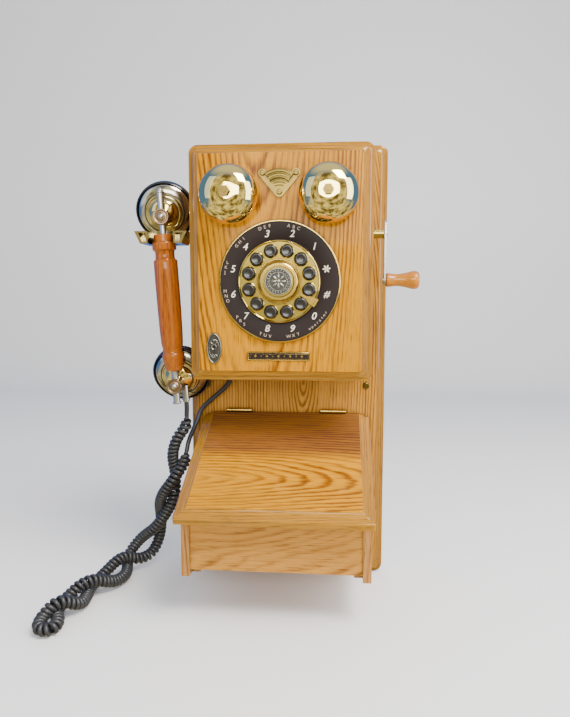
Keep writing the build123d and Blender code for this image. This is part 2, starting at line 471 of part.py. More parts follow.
def make_handset():
    place = handset_frame()
    lower = Pos(0, 0, -CLAMP_SPACING)
    with BuildSketch(Plane.XZ) as section:
        with BuildLine():
            Polyline((ROD_R, GRIP_END), (ROD_R, GRIP_TOP), (9.2, GRIP_TOP), (10.2, GRIP_TOP - 1.2))
            Polyline((10.2, GRIP_TOP - 1.2), (10.2, -25.8), (12.0, -26.4), (12.4, -27.2), (12.4, -33.4),
                     (11.8, -34.2), (10.2, -34.8))
            Spline((10.2, -34.8), (9.9, -40), (10.3, -44))
            Polyline((10.3, -44), (12.0, -44.6), (12.4, -45.6))
            Spline((12.4, -45.6), (12.4, -85), (11.9, -118), (11.0, -135))
            Spline((11.0, -135), (10.3, -139), (10.4, -142.4))
            Polyline((10.4, -142.4), (11.5, -143.2), (11.5, -148.4), (10.6, -149.6))
            Spline((10.6, -149.6), (9.6, -155), (8.4, GRIP_END))
            Line((8.4, GRIP_END), (ROD_R, GRIP_END))
        make_face()
    save("handset_grip", place * revolve(section.sketch, Axis.Z))

    rod = rod_z(ROD_R, ROD_BOTTOM, ROD_TOP, 0, 0)
    rod += rod_z(4.8, ROD_TOP, ROD_TOP + 1.4, 0, 0) + Pos(0, 0, ROD_TOP + 3.2) * Cone(3.2, 1.6, 3.6)
    rod += rod_z(4.6, ROD_BOTTOM - 2, ROD_BOTTOM, 0, 0)
    save("handset_rod", place * rod)

    tilt = Rot(CUP_TILT_DEG, 0, 0)
    shell = turned_y(cup_profile())
    face_holes = ((0.0, 1), (7.0, 6), (13.0, 10))
    clamps, capsules = [], []
    for label, spot in (("receiver", Rot(0, 0, RECEIVER_YAW_DEG)), ("transmitter", lower)):
        clamp = rod_y(CLAMP_R, CLAMP_Y0, CLAMP_Y1, 0, 0)
        clamp = fillet(clamp.edges().group_by(Axis.Y)[0], 1.2) - rod_z(ROD_R, -CLAMP_R, CLAMP_R, 0, 0)
        clamp += rod_y(2.6, CLAMP_Y0 - 0.6, CLAMP_Y0, 0, 0)
        clamps.append(place * spot * clamp)
        cup = tilt * shell
        neck = tilt * rod_y(4.6, 4.0, CUP_Y0 + 0.8, 0, 0)
        neck -= rod_y(CLAMP_R, -2, CLAMP_Y1, 0, 0)
        save(f"{label}_cup", place * spot * (cup + neck))
        cap = turned_y([(0, CUP_Y1 + 2.6), (16, CUP_Y1 + 2.6), (27, CUP_Y1 + 3.6), (CAP_R - 2, CAP_Y1),
                        (CAP_R, CAP_Y1 - 1.6), (CAP_R, CUP_Y1 - 2.4), (CUP_R, CUP_Y1 - 2.4), (CUP_R, CUP_Y1),
                        (0, CUP_Y1)])
        for ring_r, count in face_holes:
            for k in range(count):
                a = 2 * math.pi * k / count
                cap -= rod_y(1.1, CUP_Y1, CAP_Y1, ring_r * math.cos(a), ring_r * math.sin(a))
        save(f"{label}_cap", place * spot * tilt * cap)
        capsules.append(place * spot * tilt * rod_y(24, CUP_Y1 - 3, CUP_Y1, 0, 0))
    save("handset_clamps", *clamps)
    save("handset_capsules", *capsules)

    gland = rod_z(GLAND_R, GLAND_Z0, GLAND_Z1, GLAND_X, GLAND_Y)
    gland += rod_z(GLAND_R + 0.8, GLAND_Z0 + 2, GLAND_Z0 + 4, GLAND_X, GLAND_Y)
    gland -= tilt * turned_y([(0, CUP_Y0 - 9), *cup_profile()[:9], (0, CUP_Y1)])
    save("cord_gland", place * lower * gland)


def make_cradle():
    centre = HANDSET_X + (HANDSET_Z - (FORK_Z0 + FORK_Z1) / 2) * math.tan(math.radians(-HANDSET_TILT_DEG))
    outer = Polyline((centre - FORK_OUTER_TOP, FORK_Z1), (centre + FORK_OUTER_TOP, FORK_Z1),
                     (centre + FORK_OUTER_BOTTOM, FORK_Z0), (centre - FORK_OUTER_BOTTOM, FORK_Z0), close=True)
    fork = extrude(front_plane(FORK_BAR_Y1) * make_face(outer), FORK_BAR_Y1 - FORK_FRONT_Y)
    fork -= box(centre - FORK_GAP_HALF, centre + FORK_GAP_HALF, FORK_FRONT_Y - 1, FORK_BAR_Y0,
                FORK_Z0 - 1, FORK_Z1 + 1)
    pocket_z0, pocket_z1 = FORK_Z0 + FORK_WALL, FORK_Z1 - FORK_WALL
    for side in (-1, 1):
        inner = centre + side * (FORK_GAP_HALF + FORK_WALL)
        pocket = Polyline((inner, pocket_z0), (inner, pocket_z1),
                          (centre + side * (FORK_OUTER_TOP - 2.4 * FORK_WALL), pocket_z1),
                          (centre + side * (FORK_OUTER_BOTTOM - 1.2 * FORK_WALL), pocket_z0), close=True)
        fork -= extrude(front_plane(FORK_FRONT_Y + FORK_POCKET) * make_face(pocket), FORK_POCKET + 1)
    fork += box(centre - 12, centre + 12, -45.5, FORK_BAR_Y1, FORK_Z1, FORK_LIP_Z)
    arm = box(centre + FORK_OUTER_BOTTOM - 2, HOOK_TAIL_X, FORK_BAR_Y0, FORK_BAR_Y1, HOOK_ARM_Z0, HOOK_ARM_Z1)
    boss = rod_y(6, FORK_BAR_Y0, FORK_BAR_Y1, HOOK_PIVOT_X, HOOK_PIVOT_Z)
    bore = rod_y(HOOK_PIN_R + RUNNING_PLAY, FORK_BAR_Y0, FORK_BAR_Y1, HOOK_PIVOT_X, HOOK_PIVOT_Z)
    save("cradle_fork", fork + arm + boss - bore)

    x0, x1 = HOOK_PIVOT_X - 6, HOOK_PIVOT_X + 6
    web_z = HOOK_PIVOT_Z - 10
    bracket = box(x0, x1, FORK_BAR_Y0 - 2.4, -BOARD_T, web_z - 2, web_z)
    for y0, y1 in ((FORK_BAR_Y0 - 2.4, FORK_BAR_Y0 - 0.4), (FORK_BAR_Y1 + 0.4, FORK_BAR_Y1 + 2.4)):
        bracket += box(x0, x1, y0, y1, web_z, HOOK_PIVOT_Z + 6)
    bracket += box(x0, x1, -BOARD_T - 2, -BOARD_T, web_z - 14, web_z)
    bracket += rod_y(HOOK_PIN_R, FORK_BAR_Y0 - 3.4, FORK_BAR_Y1 + 3.4, HOOK_PIVOT_X, HOOK_PIVOT_Z)
    switch = box(HOOK_TAIL_X - 9, HOOK_TAIL_X + 11, -50, -40, HOOK_ARM_Z1 + 1.6, HOOK_ARM_Z1 + 12)
    switch += rod_z(1.2, HOOK_ARM_Z1 + 0.2, HOOK_ARM_Z1 + 1.6, HOOK_TAIL_X - 4, -45)
    switch += box(HOOK_TAIL_X + 8, HOOK_TAIL_X + 11, -40, -BOARD_T, HOOK_ARM_Z1 + 1.6, HOOK_ARM_Z1 + 12)
    save("hook_switch", *[bracket, switch])


def make_electronics():
    board_y = -BOARD_T - 7
    board = box(-15, 62, board_y - 1.6, board_y, 262, 352)
    board += box(30, 54, board_y - 19, board_y - 1.6, 318, 340)
    board += box(-4, 14, board_y - 5, board_y - 1.6, 290, 300)
    for x, z in ((4, 330), (16, 330), (44, 285)):
        board += rod_y(5, board_y - 14, board_y - 1.6, x, z)
    for x, z in ((-11, 266), (58, 266), (-11, 348), (58, 348)):
        board += rod_y(3, board_y, -BOARD_T, x, z)
    speaker = rod_y(17, -BOARD_T - 6, -BOARD_T, 30, 412) + rod_y(8, -BOARD_T - 12, -BOARD_T - 6, 30, 412)
    save("circuit_board", board, speaker)


def make_cord():
    cord_tube("cord_lead_in", LEAD_IN_ROUTE, CORD_WIRE_D)
    cord_tube("cord_coil", COIL_ROUTE, CORD_COIL_D)
    gland = handset_frame() * Pos(GLAND_X, GLAND_Y, GLAND_Z0 - CLAMP_SPACING)
    below = gland * Pos(0, 0, -LEAD_OUT_STRAIGHT)
    x, y, z = COIL_ROUTE[-1]
    route = (COIL_ROUTE[-1], (x, y, z + LEAD_OUT_RISE), tuple(below.position), tuple(gland.position))
    cord_tube("cord_lead_out", route, CORD_WIRE_D)


def main():
    os.makedirs("parts", exist_ok=True)
    board_screws = make_board()
    make_hangers()
    make_cabinet()
    make_panel()
    bracket_screws = make_fan_bracket()
    save("brass_screws", *board_screws, *bracket_screws)
    make_bells()
    make_dial()
    make_desk()
    make_lid()
    make_hinges()
    make_crank()
    make_handset()
    make_cradle()
    make_electronics()
    make_cord()


main()
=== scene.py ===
import math
import bpy
import bmesh
from mathutils import Matrix, Vector


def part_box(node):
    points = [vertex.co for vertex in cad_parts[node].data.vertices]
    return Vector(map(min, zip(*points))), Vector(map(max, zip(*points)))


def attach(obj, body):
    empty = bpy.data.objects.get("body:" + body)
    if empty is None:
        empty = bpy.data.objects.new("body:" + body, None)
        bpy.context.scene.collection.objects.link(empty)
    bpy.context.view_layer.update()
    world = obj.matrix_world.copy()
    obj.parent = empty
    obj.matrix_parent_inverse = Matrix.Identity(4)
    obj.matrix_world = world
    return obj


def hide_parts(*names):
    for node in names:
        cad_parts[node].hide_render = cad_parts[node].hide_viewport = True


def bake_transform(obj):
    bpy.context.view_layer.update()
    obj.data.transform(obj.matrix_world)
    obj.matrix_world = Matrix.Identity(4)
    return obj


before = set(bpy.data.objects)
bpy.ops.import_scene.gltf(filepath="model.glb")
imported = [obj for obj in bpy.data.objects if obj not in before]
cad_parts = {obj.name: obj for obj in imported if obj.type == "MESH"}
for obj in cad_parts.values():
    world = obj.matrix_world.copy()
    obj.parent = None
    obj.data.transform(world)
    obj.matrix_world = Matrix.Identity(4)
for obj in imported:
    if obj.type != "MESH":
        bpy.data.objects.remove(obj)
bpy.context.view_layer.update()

# Lengths are given in millimetres and turned into metres by MM. Heights are measured from the board's
# bottom edge, which is FLOOR_Z below the row's origin.
MM = 0.001
FLOOR_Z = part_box("backboard")[0][2]
PANEL_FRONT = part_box("front_panel")[0][1] / MM
DIAL_Z = 331.0
BOARD_HALF, BOARD_TOP = 110, 480
PANEL_HALF, PANEL_LOW, PANEL_TOP, PANEL_BACK = 91.7, 232, 465.8, -77
BELL_X, BELL_Z = 47.8, 413.6
LID_HALF, LID_BACK, LID_FRONT, LID_TOP_Z = 93, -19.2, -165.5, 187.0
CRANK_Y, SHAFT_Z, HANDLE_Z = -48.0, 381.3, 333.7
HANDSET_AT, HANDSET_TILT, HANDSET_LENGTH = (-126.0, -62.0, 398.7), -3.7, 177.1
CUP_TILT, RECEIVER_YAW = 19.8, 6.0
BUTTON_NAMES = ("star", "1", "2", "3", "4", "5", "6", "7", "8", "9", "0", "hash")


def at(x, y, z):
    """A point in metres, z from the board's bottom edge."""
    return Vector((x * MM, y * MM, z * MM + FLOOR_Z))


# ---------------------------------------------------------------- materials
def grey(value):
    return (value, value, value)


def make_node(tree, kind, *values, out=0, **settings):
    """Makes a shader node, fills or joins its inputs in order, and gives one of its outputs."""
    node = tree.nodes.new("ShaderNode" + kind)
    for key, value in settings.items():
        setattr(node, key, value)
    for socket, value in zip(node.inputs, values):
        if isinstance(value, bpy.types.NodeSocket):
            tree.links.new(value, socket)
        elif value is not None:
            socket.default_value = value
    return node.outputs[out]


class Shader:
    """A material with a principled surface."""

    def __init__(self, name):
        self.mat = bpy.data.materials.new(name)
        self.mat.use_nodes = True
        self.tree = self.mat.node_tree
        self.surface = self.tree.nodes["Principled BSDF"]

    def add(self, kind, *values, out=0, **settings):
        return make_node(self.tree, kind, *values, out=out, **settings)

    def math(self, operation, a, b=None, c=None):
        return self.add("Math", a, b, c, operation=operation)

    def noise(self, vector, scale, detail=3.0, rough=0.5, distortion=0.0, out=0):
        return self.add("TexNoise", vector, None, scale, detail, rough, None, None, None, distortion, out=out)

    def ramp(self, factor, *stops):
        node = self.tree.nodes.new("ShaderNodeValToRGB")
        self.tree.links.new(factor, node.inputs[0])
        while len(node.color_ramp.elements) < len(stops):
            node.color_ramp.elements.new(0.5)
        for element, (place, colour) in zip(node.color_ramp.elements, stops):
            element.position = place
            element.color = (*colour, 1)
        return node.outputs[0]

    def mix(self, factor, a, b, blend="MIX"):
        a = (*a, 1) if isinstance(a, tuple) else a
        b = (*b, 1) if isinstance(b, tuple) else b
        return self.add("MixRGB", factor, a, b, blend_type=blend)

    def coat(self, weight, rough):
        self.surface.inputs["Coat Weight"].default_value = weight
        self.surface.inputs["Coat Roughness"].default_value = rough

    def bump(self, height, distance, strength=1.0):
        normal = self.add("Bump", strength, distance * MM)
        self.tree.links.new(height, normal.node.inputs["Height"])
        self.tree.links.new(normal, self.surface.inputs["Normal"])

    def edge_wear(self):
        """1 on convex edges, 0 on flats."""
        return self.ramp(self.add("NewGeometry", out=7), (0.50, grey(0)), (0.60, grey(1)))


def stretched(s, point, shift, scale, detail, rough):
    """Noise drawn out along the grain."""
    return s.noise(s.add("Mapping", point, shift, (0, 0, 0), scale), 1.0, detail, rough)


# Painted shade: the lid's painted shadow multiplies the wood by SHADE_TINT and adds SHADE_LIFT.
SHADE_TINT, SHADE_LIFT = (0.44, 0.38, 0.60), (0.0, 0.004, 0.014)
VARNISH_TINT = (1.0, 0.66, 0.25, 1)


def wood(name, grain, place, slope, rings, depth, light, dark, contrast, turn=None, gloss=0.25, wave=0.030,
         shade=None):
    """Plain-sawn wood: a slice through growth rings, with pores along the grain and a clear varnish.

    grain is the axis that it runs along, and turn is a rotation used instead; place is the tree's heart
    in metres, depth how far in front of the heart the slice is, slope how much it leans to the grain,
    rings how many there are in a metre and wave how far they wander. light and dark are the early and
    the late wood. Above the height shade the wood is painted darker: a painted shadow.
    """
    s = Shader(name)
    world_point = s.add("TexCoord", out=3)
    turns = {"Z": (0, 0, 0), "X": (0, math.pi / 2, 0)}
    angles = tuple(turn.to_euler()) if turn else turns[grain]
    p = s.add("Mapping", world_point, tuple(-v for v in place), angles)
    slow = s.add("Mapping", p, (0, 0, 0), (0, 0, 0), (9.0, 9.0, 2.2))
    warp = s.noise(slow, 1.0, 2.0, 0.5, out=1)
    warp = s.add("VectorMath", warp, (0.5, 0.5, 0.5), operation="SUBTRACT")
    warp = s.add("VectorMath", warp, (wave, wave, wave), operation="MULTIPLY")
    bent = s.add("VectorMath", p, warp, operation="ADD")
    split = s.add("SeparateXYZ", bent).node
    across, through, along = split.outputs
    lean = s.math("MULTIPLY_ADD", along, slope, depth)
    deep = s.math("ADD", lean, through)
    radius = s.math("SQRT", s.math("ADD", s.math("MULTIPLY", across, across), s.math("MULTIPLY", deep, deep)))
    wobble = stretched(s, p, (0, 0, 0), (110, 110, 12), 4.0, 0.65)
    ring = s.math("FRACT", s.math("MULTIPLY_ADD", wobble, 1.3, s.math("MULTIPLY", radius, rings)))
    band = s.ramp(ring, (0.0, grey(0.25)), (0.16, grey(0.0)), (0.50, grey(0.12)), (0.84, grey(0.95)),
                  (1.0, grey(0.5)))
    patch = stretched(s, p, (5, 4, 1), (30, 30, 5), 3.0, 0.6)
    strength = s.ramp(patch, (0.36, grey(0.08)), (0.66, grey(1.25)))
    streak = stretched(s, p, (0, 0, 0), (1000, 1000, 16), 4.0, 0.7)
    pore = s.ramp(stretched(s, p, (3, 1, 2), (1700, 1700, 60), 2.0, 0.5), (0.54, grey(0)), (0.62, grey(1)))
    tone = stretched(s, p, (7, 2, 5), (14, 14, 3), 2.0, 0.5)
    figure = s.math("MULTIPLY", s.math("MULTIPLY", band, strength), contrast)
    amount = s.math("ADD", figure, s.math("MULTIPLY_ADD", streak, 1.5, -0.68))
    colour = s.mix(amount, light, dark)
    colour = s.mix(s.math("MULTIPLY", pore, s.math("MULTIPLY_ADD", band, 0.55, 0.28)), colour,
                   tuple(c * 0.40 for c in dark))
    colour = s.mix(s.math("MULTIPLY", s.ramp(tone, (0.35, grey(0)), (0.7, grey(1))), 0.45), colour,
                   tuple(c * 0.50 for c in light))
    # Painted shade: above the height shade, a painted shadow of the cabinet darkens the wood.
    if shade:
        height = s.add("SeparateXYZ", world_point, out=2)
        shaded = s.mix(1.0, s.mix(1.0, colour, SHADE_TINT, "MULTIPLY"), SHADE_LIFT, "ADD")
        colour = s.mix(s.add("MapRange", height, shade - 0.002, shade + 0.005), colour, shaded)
    # Painted shade: corners and hollows that ambient occlusion finds are darkened.
    hollow = s.add("AmbientOcclusion", None, 0.012, out=1)
    corner = s.ramp(hollow, (0.25, (0.30, 0.28, 0.26)), (0.85, grey(1)))
    colour = s.mix(1.0, colour, corner, "MULTIPLY")
    s.tree.links.new(colour, s.surface.inputs["Base Color"])
    s.tree.links.new(s.math("MULTIPLY_ADD", streak, 0.18, 0.30), s.surface.inputs["Roughness"])
    s.coat(gloss, 0.07)
    s.surface.inputs["Specular IOR Level"].default_value = 0.18
    s.surface.inputs["Specular Tint"].default_value = VARNISH_TINT
    s.bump(s.math("MULTIPLY_ADD", pore, -0.7, s.math("MULTIPLY", streak, 0.4)), 0.10, 0.5)
    return s.mat


def metal(name, colour, rough=0.12, tarnish=0.25, dull=None, brushed=0.0, scale=60.0):
    """Polished metal with smudges, hairline scratches and darker hollows."""
    s = Shader(name)
    p = s.add("TexCoord", out=3)
    smudge = s.noise(p, scale, 4.0, 0.6)
    fine = s.noise(s.add("Mapping", p, (0, 0, 0), (0.4, 0.2, 0.7), (3000, 260, 3000)), 1.0, 2.0, 0.5)
    hollow = s.ramp(s.add("AmbientOcclusion", None, 0.006, out=1), (0.25, grey(1)), (0.8, grey(0)))
    dull = dull or tuple(c * 0.45 for c in colour)
    worn = s.math("MULTIPLY", s.ramp(smudge, (0.45, grey(0)), (0.75, grey(1))), tarnish)
    base = s.mix(worn, colour, dull)
    base = s.mix(s.math("MULTIPLY", hollow, 0.75), base, tuple(c * 0.35 for c in dull))
    s.tree.links.new(base, s.surface.inputs["Base Color"])
    rise = s.math("MULTIPLY_ADD", smudge, 0.10, rough - 0.04)
    rise = s.math("MULTIPLY_ADD", fine, 0.03 + brushed, rise)
    s.tree.links.new(rise, s.surface.inputs["Roughness"])
    s.surface.inputs["Metallic"].default_value = 1.0
    s.bump(fine, 0.004 + brushed * 0.05, 0.35)
    return s.mat


def plastic(name, colour, rough=0.22, grain=0.01, coat=0.3):
    """Moulded plastic with faint flow marks and lighter worn edges."""
    s = Shader(name)
    p = s.add("TexCoord", out=3)
    fine = s.noise(p, 1400.0, 2.0, 0.5)
    cloud = s.noise(p, 90.0, 3.0, 0.6)
    wear = s.math("MULTIPLY", s.edge_wear(), 0.16)
    base = s.mix(s.math("MULTIPLY", cloud, 0.3), colour, tuple(min(1, c * 1.8 + 0.006) for c in colour))
    base = s.mix(wear, base, tuple(min(1, c * 2.5 + 0.05) for c in colour))
    s.tree.links.new(base, s.surface.inputs["Base Color"])
    s.tree.links.new(s.math("MULTIPLY_ADD", cloud, 0.14, rough - 0.05), s.surface.inputs["Roughness"])
    s.coat(coat, 0.12)
    s.bump(fine, grain, 0.4)
    return s.mat


GOLD = (0.64, 0.45, 0.11)
BRASS = (0.35, 0.26, 0.05)
gong_gold = metal("gong_gold", (0.93, 0.74, 0.28), 0.03, 0.04, scale=25)
gold = metal("gold_plate", GOLD, 0.16, 0.08)
brass = metal("dial_brass", BRASS, 0.26, 0.20, brushed=0.06)
old_brass = metal("old_brass", (0.20, 0.14, 0.034), 0.26, 0.5, dull=(0.14, 0.10, 0.03))
pewter = metal("pewter", (0.34, 0.33, 0.28), 0.24, 0.45, dull=(0.16, 0.15, 0.13))
dark_pewter = metal("dark_pewter", (0.085, 0.085, 0.08), 0.38, 0.4, dull=(0.03, 0.03, 0.03))
silver = metal("silver_plate", (0.56, 0.53, 0.43), 0.14, 0.3, dull=(0.24, 0.21, 0.15))
pale_gold = metal("pale_gold", (0.66, 0.56, 0.30), 0.12, 0.3, dull=(0.22, 0.17, 0.07))
copper = metal("aged_copper", (0.34, 0.235, 0.15), 0.28, 0.4, dull=(0.14, 0.085, 0.05))
steel = metal("steel", (0.62, 0.61, 0.58), 0.22, 0.3, brushed=0.10)
black = plastic("black_gloss", (0.010, 0.009, 0.009), 0.16, 0.004, 0.25)
dial_black = plastic("dial_black", (0.010, 0.004, 0.003), 0.42, 0.006, 0.0)
dial_black.node_tree.nodes["Principled BSDF"].inputs["Specular IOR Level"].default_value = 0.2
rubber = plastic("cord_black", (0.016, 0.016, 0.017), 0.36, 0.012, 0.12)
cream = plastic("cream_ink", (0.72, 0.62, 0.42), 0.45, 0.002, 0.0)
faint = plastic("faint_ink", (0.34, 0.27, 0.19), 0.45, 0.002, 0.0)
green = plastic("circuit_green", (0.03, 0.16, 0.07), 0.35, 0.01, 0.4)


# ---------------------------------------------------------------- mesh helpers
def mesh_object(name, verts, faces, mats, body, index=None, sharp=35.0):
    mesh = bpy.data.meshes.new(name)
    mesh.from_pydata([tuple(v) for v in verts], [], faces)
    mesh.update()
    for mat in mats if isinstance(mats, (list, tuple)) else [mats]:
        mesh.materials.append(mat)
    for polygon in mesh.polygons:
        polygon.use_smooth = True
        if index:
            polygon.material_index = index[polygon.index]
    obj = bpy.data.objects.new(name, mesh)
    bpy.context.scene.collection.objects.link(obj)
    bm = bmesh.new()
    bm.from_mesh(mesh)
    bmesh.ops.recalc_face_normals(bm, faces=bm.faces)
    for edge in bm.edges:
        if len(edge.link_faces) == 2 and edge.calc_face_angle(0) > math.radians(sharp):
            edge.smooth = False
    bm.to_mesh(mesh)
    bm.free()
    if body:
        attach(obj, body)
    return obj


def bevel(obj, width, segments=2, angle=40):
    m = obj.modifiers.new("Bevel", "BEVEL")
    m.width = width * MM
    m.segments = segments
    m.limit_method = "ANGLE"
    m.angle_limit = math.radians(angle)
    m.harden_normals = True
    return obj


def lathe(name, profile, mats, body, frame_matrix, segments=96, sharp=28.0, parts=None):
    """Turns (radius, height) points in mm about the frame's Z. parts gives each step's material index."""
    verts, faces, index = [], [], []
    rings = []
    for radius, height in profile:
        if radius < 1e-6:
            rings.append([len(verts)])
            verts.append(frame_matrix @ Vector((0, 0, height * MM)))
            continue
        rings.append(list(range(len(verts), len(verts) + segments)))
        for k in range(segments):
            a = 2 * math.pi * k / segments
            verts.append(frame_matrix @ Vector((radius * math.cos(a) * MM, radius * math.sin(a) * MM,
                                                height * MM)))
    for step, (low, high) in enumerate(zip(rings, rings[1:])):
        for k in range(segments):
            n = (k + 1) % segments
            face = [low[k % len(low)], low[n % len(low)], high[n % len(high)], high[k % len(high)]]
            face = list(dict.fromkeys(face))
            if len(face) > 2:
                faces.append(face)
                index.append(parts[step] if parts else 0)
    return mesh_object(name, verts, faces, mats, body, index, sharp)


def facing_y(x, y, z):
    """A frame at a point in mm whose Z axis points at the viewer (-Y)."""
    return Matrix.Translation(at(x, y, z)) @ Matrix.Rotation(math.pi / 2, 4, "X")


def along_x(x, y, z):
    return Matrix.Translation(at(x, y, z)) @ Matrix.Rotation(math.pi / 2, 4, "Y")


def arc(points, start, end, steps, centre, rx, ry):
    """Adds points of an oval arc to a profile, angles in degrees."""
    for k in range(steps + 1):
        a = math.radians(start + (end - start) * k / steps)
        points.append((centre[0] + rx * math.cos(a), centre[1] + ry * math.sin(a)))
    return points


def rounded_loop(x0, x1, y0, y1, corners, segments=10):
    """A rounded rectangle, counter-clockwise from the lower right corner; corners are four radii."""
    loop = []
    spots = ((x1, y0, -90), (x1, y1, 0), (x0, y1, 90), (x0, y0, 180))
    for (x, y, start), r in zip(spots, corners):
        cx = x - r if x == x1 else x + r
        cy = y - r if y == y1 else y + r
        arc(loop, start, start + 90, segments, (cx, cy), r, r)
    return loop


HOLE_SIDES = 64


def moulded(name, loops, place, mats, body, holes=(), cap_index=0):
    """Stacks loops of (x, y) points at heights into a board with a moulded edge.

    holes, each (x, y, radius), go right through. mats are the face's, the edge's and, where there are
    three, the level edges' own.
    """
    verts, faces, index = [], [], []
    count = len(loops[0][0])
    for loop, height in loops:
        verts += [place @ Vector((x * MM, y * MM, height * MM)) for x, y in loop]
    for step in range(len(loops) - 1):
        for k in range(count):
            n = (k + 1) % count
            low, high = step * count, (step + 1) * count
            faces.append([low + k, low + n, high + n, high + k])
            (x0, y0), (x1, y1) = loops[step][0][k], loops[step][0][n]
            index.append(2 if abs(x1 - x0) > abs(y1 - y0) and len(mats) > 2 else 1)
    back_edges = [(k, (k + 1) % count) for k in range(count)]
    top = (len(loops) - 1) * count
    front_edges = [(top + k, top + (k + 1) % count) for k in range(count)]
    segments = HOLE_SIDES
    for x, y, r in holes:
        low = len(verts)
        for height in (loops[0][1], loops[-1][1]):
            verts += [place @ Vector(((x + r * math.cos(2 * math.pi * k / segments)) * MM,
                                      (y + r * math.sin(2 * math.pi * k / segments)) * MM, height * MM))
                      for k in range(segments)]
        for k in range(segments):
            n = (k + 1) % segments
            faces.append([low + k, low + n, low + segments + n, low + segments + k])
            index.append(0)
            back_edges.append((low + k, low + n))
            front_edges.append((low + segments + k, low + segments + n))
    bm = bmesh.new()
    made = [bm.verts.new(v) for v in verts]
    for edges in (back_edges, front_edges):
        lines = [bm.edges.new((made[a], made[b])) for a, b in edges]
        filled = bmesh.ops.triangle_fill(bm, edges=lines, use_beauty=True, use_dissolve=False)
        for item in filled["geom"]:
            if isinstance(item, bmesh.types.BMFace):
                bm.verts.index_update()
                faces.append([v.index for v in item.verts])
                index.append(cap_index)
    bm.free()
    return mesh_object(name, verts, faces, mats, body, index, 24.0)


def tube(name, points, radius, mat, body, sides=12, closed=False):
    """A round rod along points (metres); radius in mm, one or one for each point."""
    verts, faces = [], []
    radii = radius if isinstance(radius, list) else [radius] * len(points)
    count = len(points)
    side = None
    for k, p in enumerate(points):
        a = points[(k - 1) % count] if closed or k else p
        b = points[(k + 1) % count] if closed or k < count - 1 else p
        ahead = (b - a).normalized()
        if side is None:
            side = ahead.cross(Vector((0.31, 0.52, 0.79))).normalized()
        side = (side - ahead * side.dot(ahead)).normalized()
        up = ahead.cross(side)
        verts += [p + (side * math.cos(t) + up * math.sin(t)) * radii[k] * MM
                  for t in (2 * math.pi * j / sides for j in range(sides))]
    for k in range(count if closed else count - 1):
        low, high = k * sides, ((k + 1) % count) * sides
        for j in range(sides):
            n = (j + 1) % sides
            faces.append([low + j, low + n, high + n, high + j])
    if not closed:
        faces += [list(range(sides))[::-1], list(range((count - 1) * sides, count * sides))]
    return mesh_object(name, verts, faces, mat, body, sharp=60)


def coat_nodes(mat, *nodes):
    """Gives CAD nodes a material."""
    for name in nodes:
        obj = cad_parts[name]
        obj.data.materials.clear()
        obj.data.materials.append(mat)


# ---------------------------------------------------------------- woodwork
# Each moulding is (distance in from the outline, height off the back) in mm.
BOARD_EDGE = ((0, 0.15), (0, 7.6), (0.5, 8.6), (1.6, 9.0), (3.2, 9.3), (3.5, 10.4), (3.9, 12.2), (5.0, 13.2),
              (6.7, 13.6), (7.5, 14.2), (7.7, 16.4), (8.3, 17.2), (9.2, 17.5))
PANEL_EDGE = ((0, 0), (0, 6.4), (0.5, 7.3), (1.5, 7.6), (4.0, 7.8), (4.6, 8.4), (4.8, 10.4), (5.6, 11.5),
              (7.2, 12.0), (8.8, 12.6), (10.0, 13.9), (10.5, 15.8), (10.7, 17.1))


def board_loops(half_w, z0, z1, edge, corner):
    return [(rounded_loop(inset - half_w, half_w - inset, z0 + inset, z1 - inset,
                          [max(corner - inset * 0.55, 1.5)] * 4), height) for inset, height in edge]


LIP_LIGHT, LIP_DARK = (0.43, 0.192, 0.010), (0.17, 0.060, 0.003)
oak_board = wood("oak_board", "Z", (0.020, 0, -0.085), slope=0.26, rings=300, depth=0.0,
                 light=(0.49, 0.220, 0.030), dark=(0.17, 0.060, 0.005), contrast=1.2, wave=0.016)
oak_panel = wood("oak_panel", "Z", (-0.020, 0, 0.16), slope=0.09, rings=330, depth=0.034,
                 light=(0.55, 0.228, 0.0), dark=(0.16, 0.042, 0.0), contrast=1.25, gloss=0.15)
oak_edge = wood("oak_edge", "Z", (0.05, 0, 0.3), slope=0.03, rings=420, depth=0.02,
                light=(0.33, 0.145, 0.014), dark=(0.12, 0.042, 0.003), contrast=0.35, gloss=1.0)
oak_lip = wood("oak_lip", "X", (0.10, 0.05, 0.0), slope=0.04, rings=420, depth=0.02,
               light=LIP_LIGHT, dark=LIP_DARK, contrast=0.7, gloss=1.0)
oak_side = wood("oak_side", "Z", (0.0, -0.03, 0.1), slope=0.05, rings=340, depth=0.02,
                light=(0.46, 0.215, 0.060), dark=(0.17, 0.060, 0.010), contrast=0.9)
oak_front = wood("oak_front", "X", (-0.13, 0.06, 0.05), slope=0.10, rings=330, depth=0.012,
                 light=(0.52, 0.240, 0.042), dark=(0.25, 0.085, 0.012), contrast=1.0, wave=0.060)
oak_dull = wood("oak_dull", "X", (0.0, 0.0, 0.0), slope=0.05, rings=300, depth=0.02,
                light=(0.40, 0.20, 0.06), dark=(0.2, 0.08, 0.02), contrast=0.7, gloss=0.1)

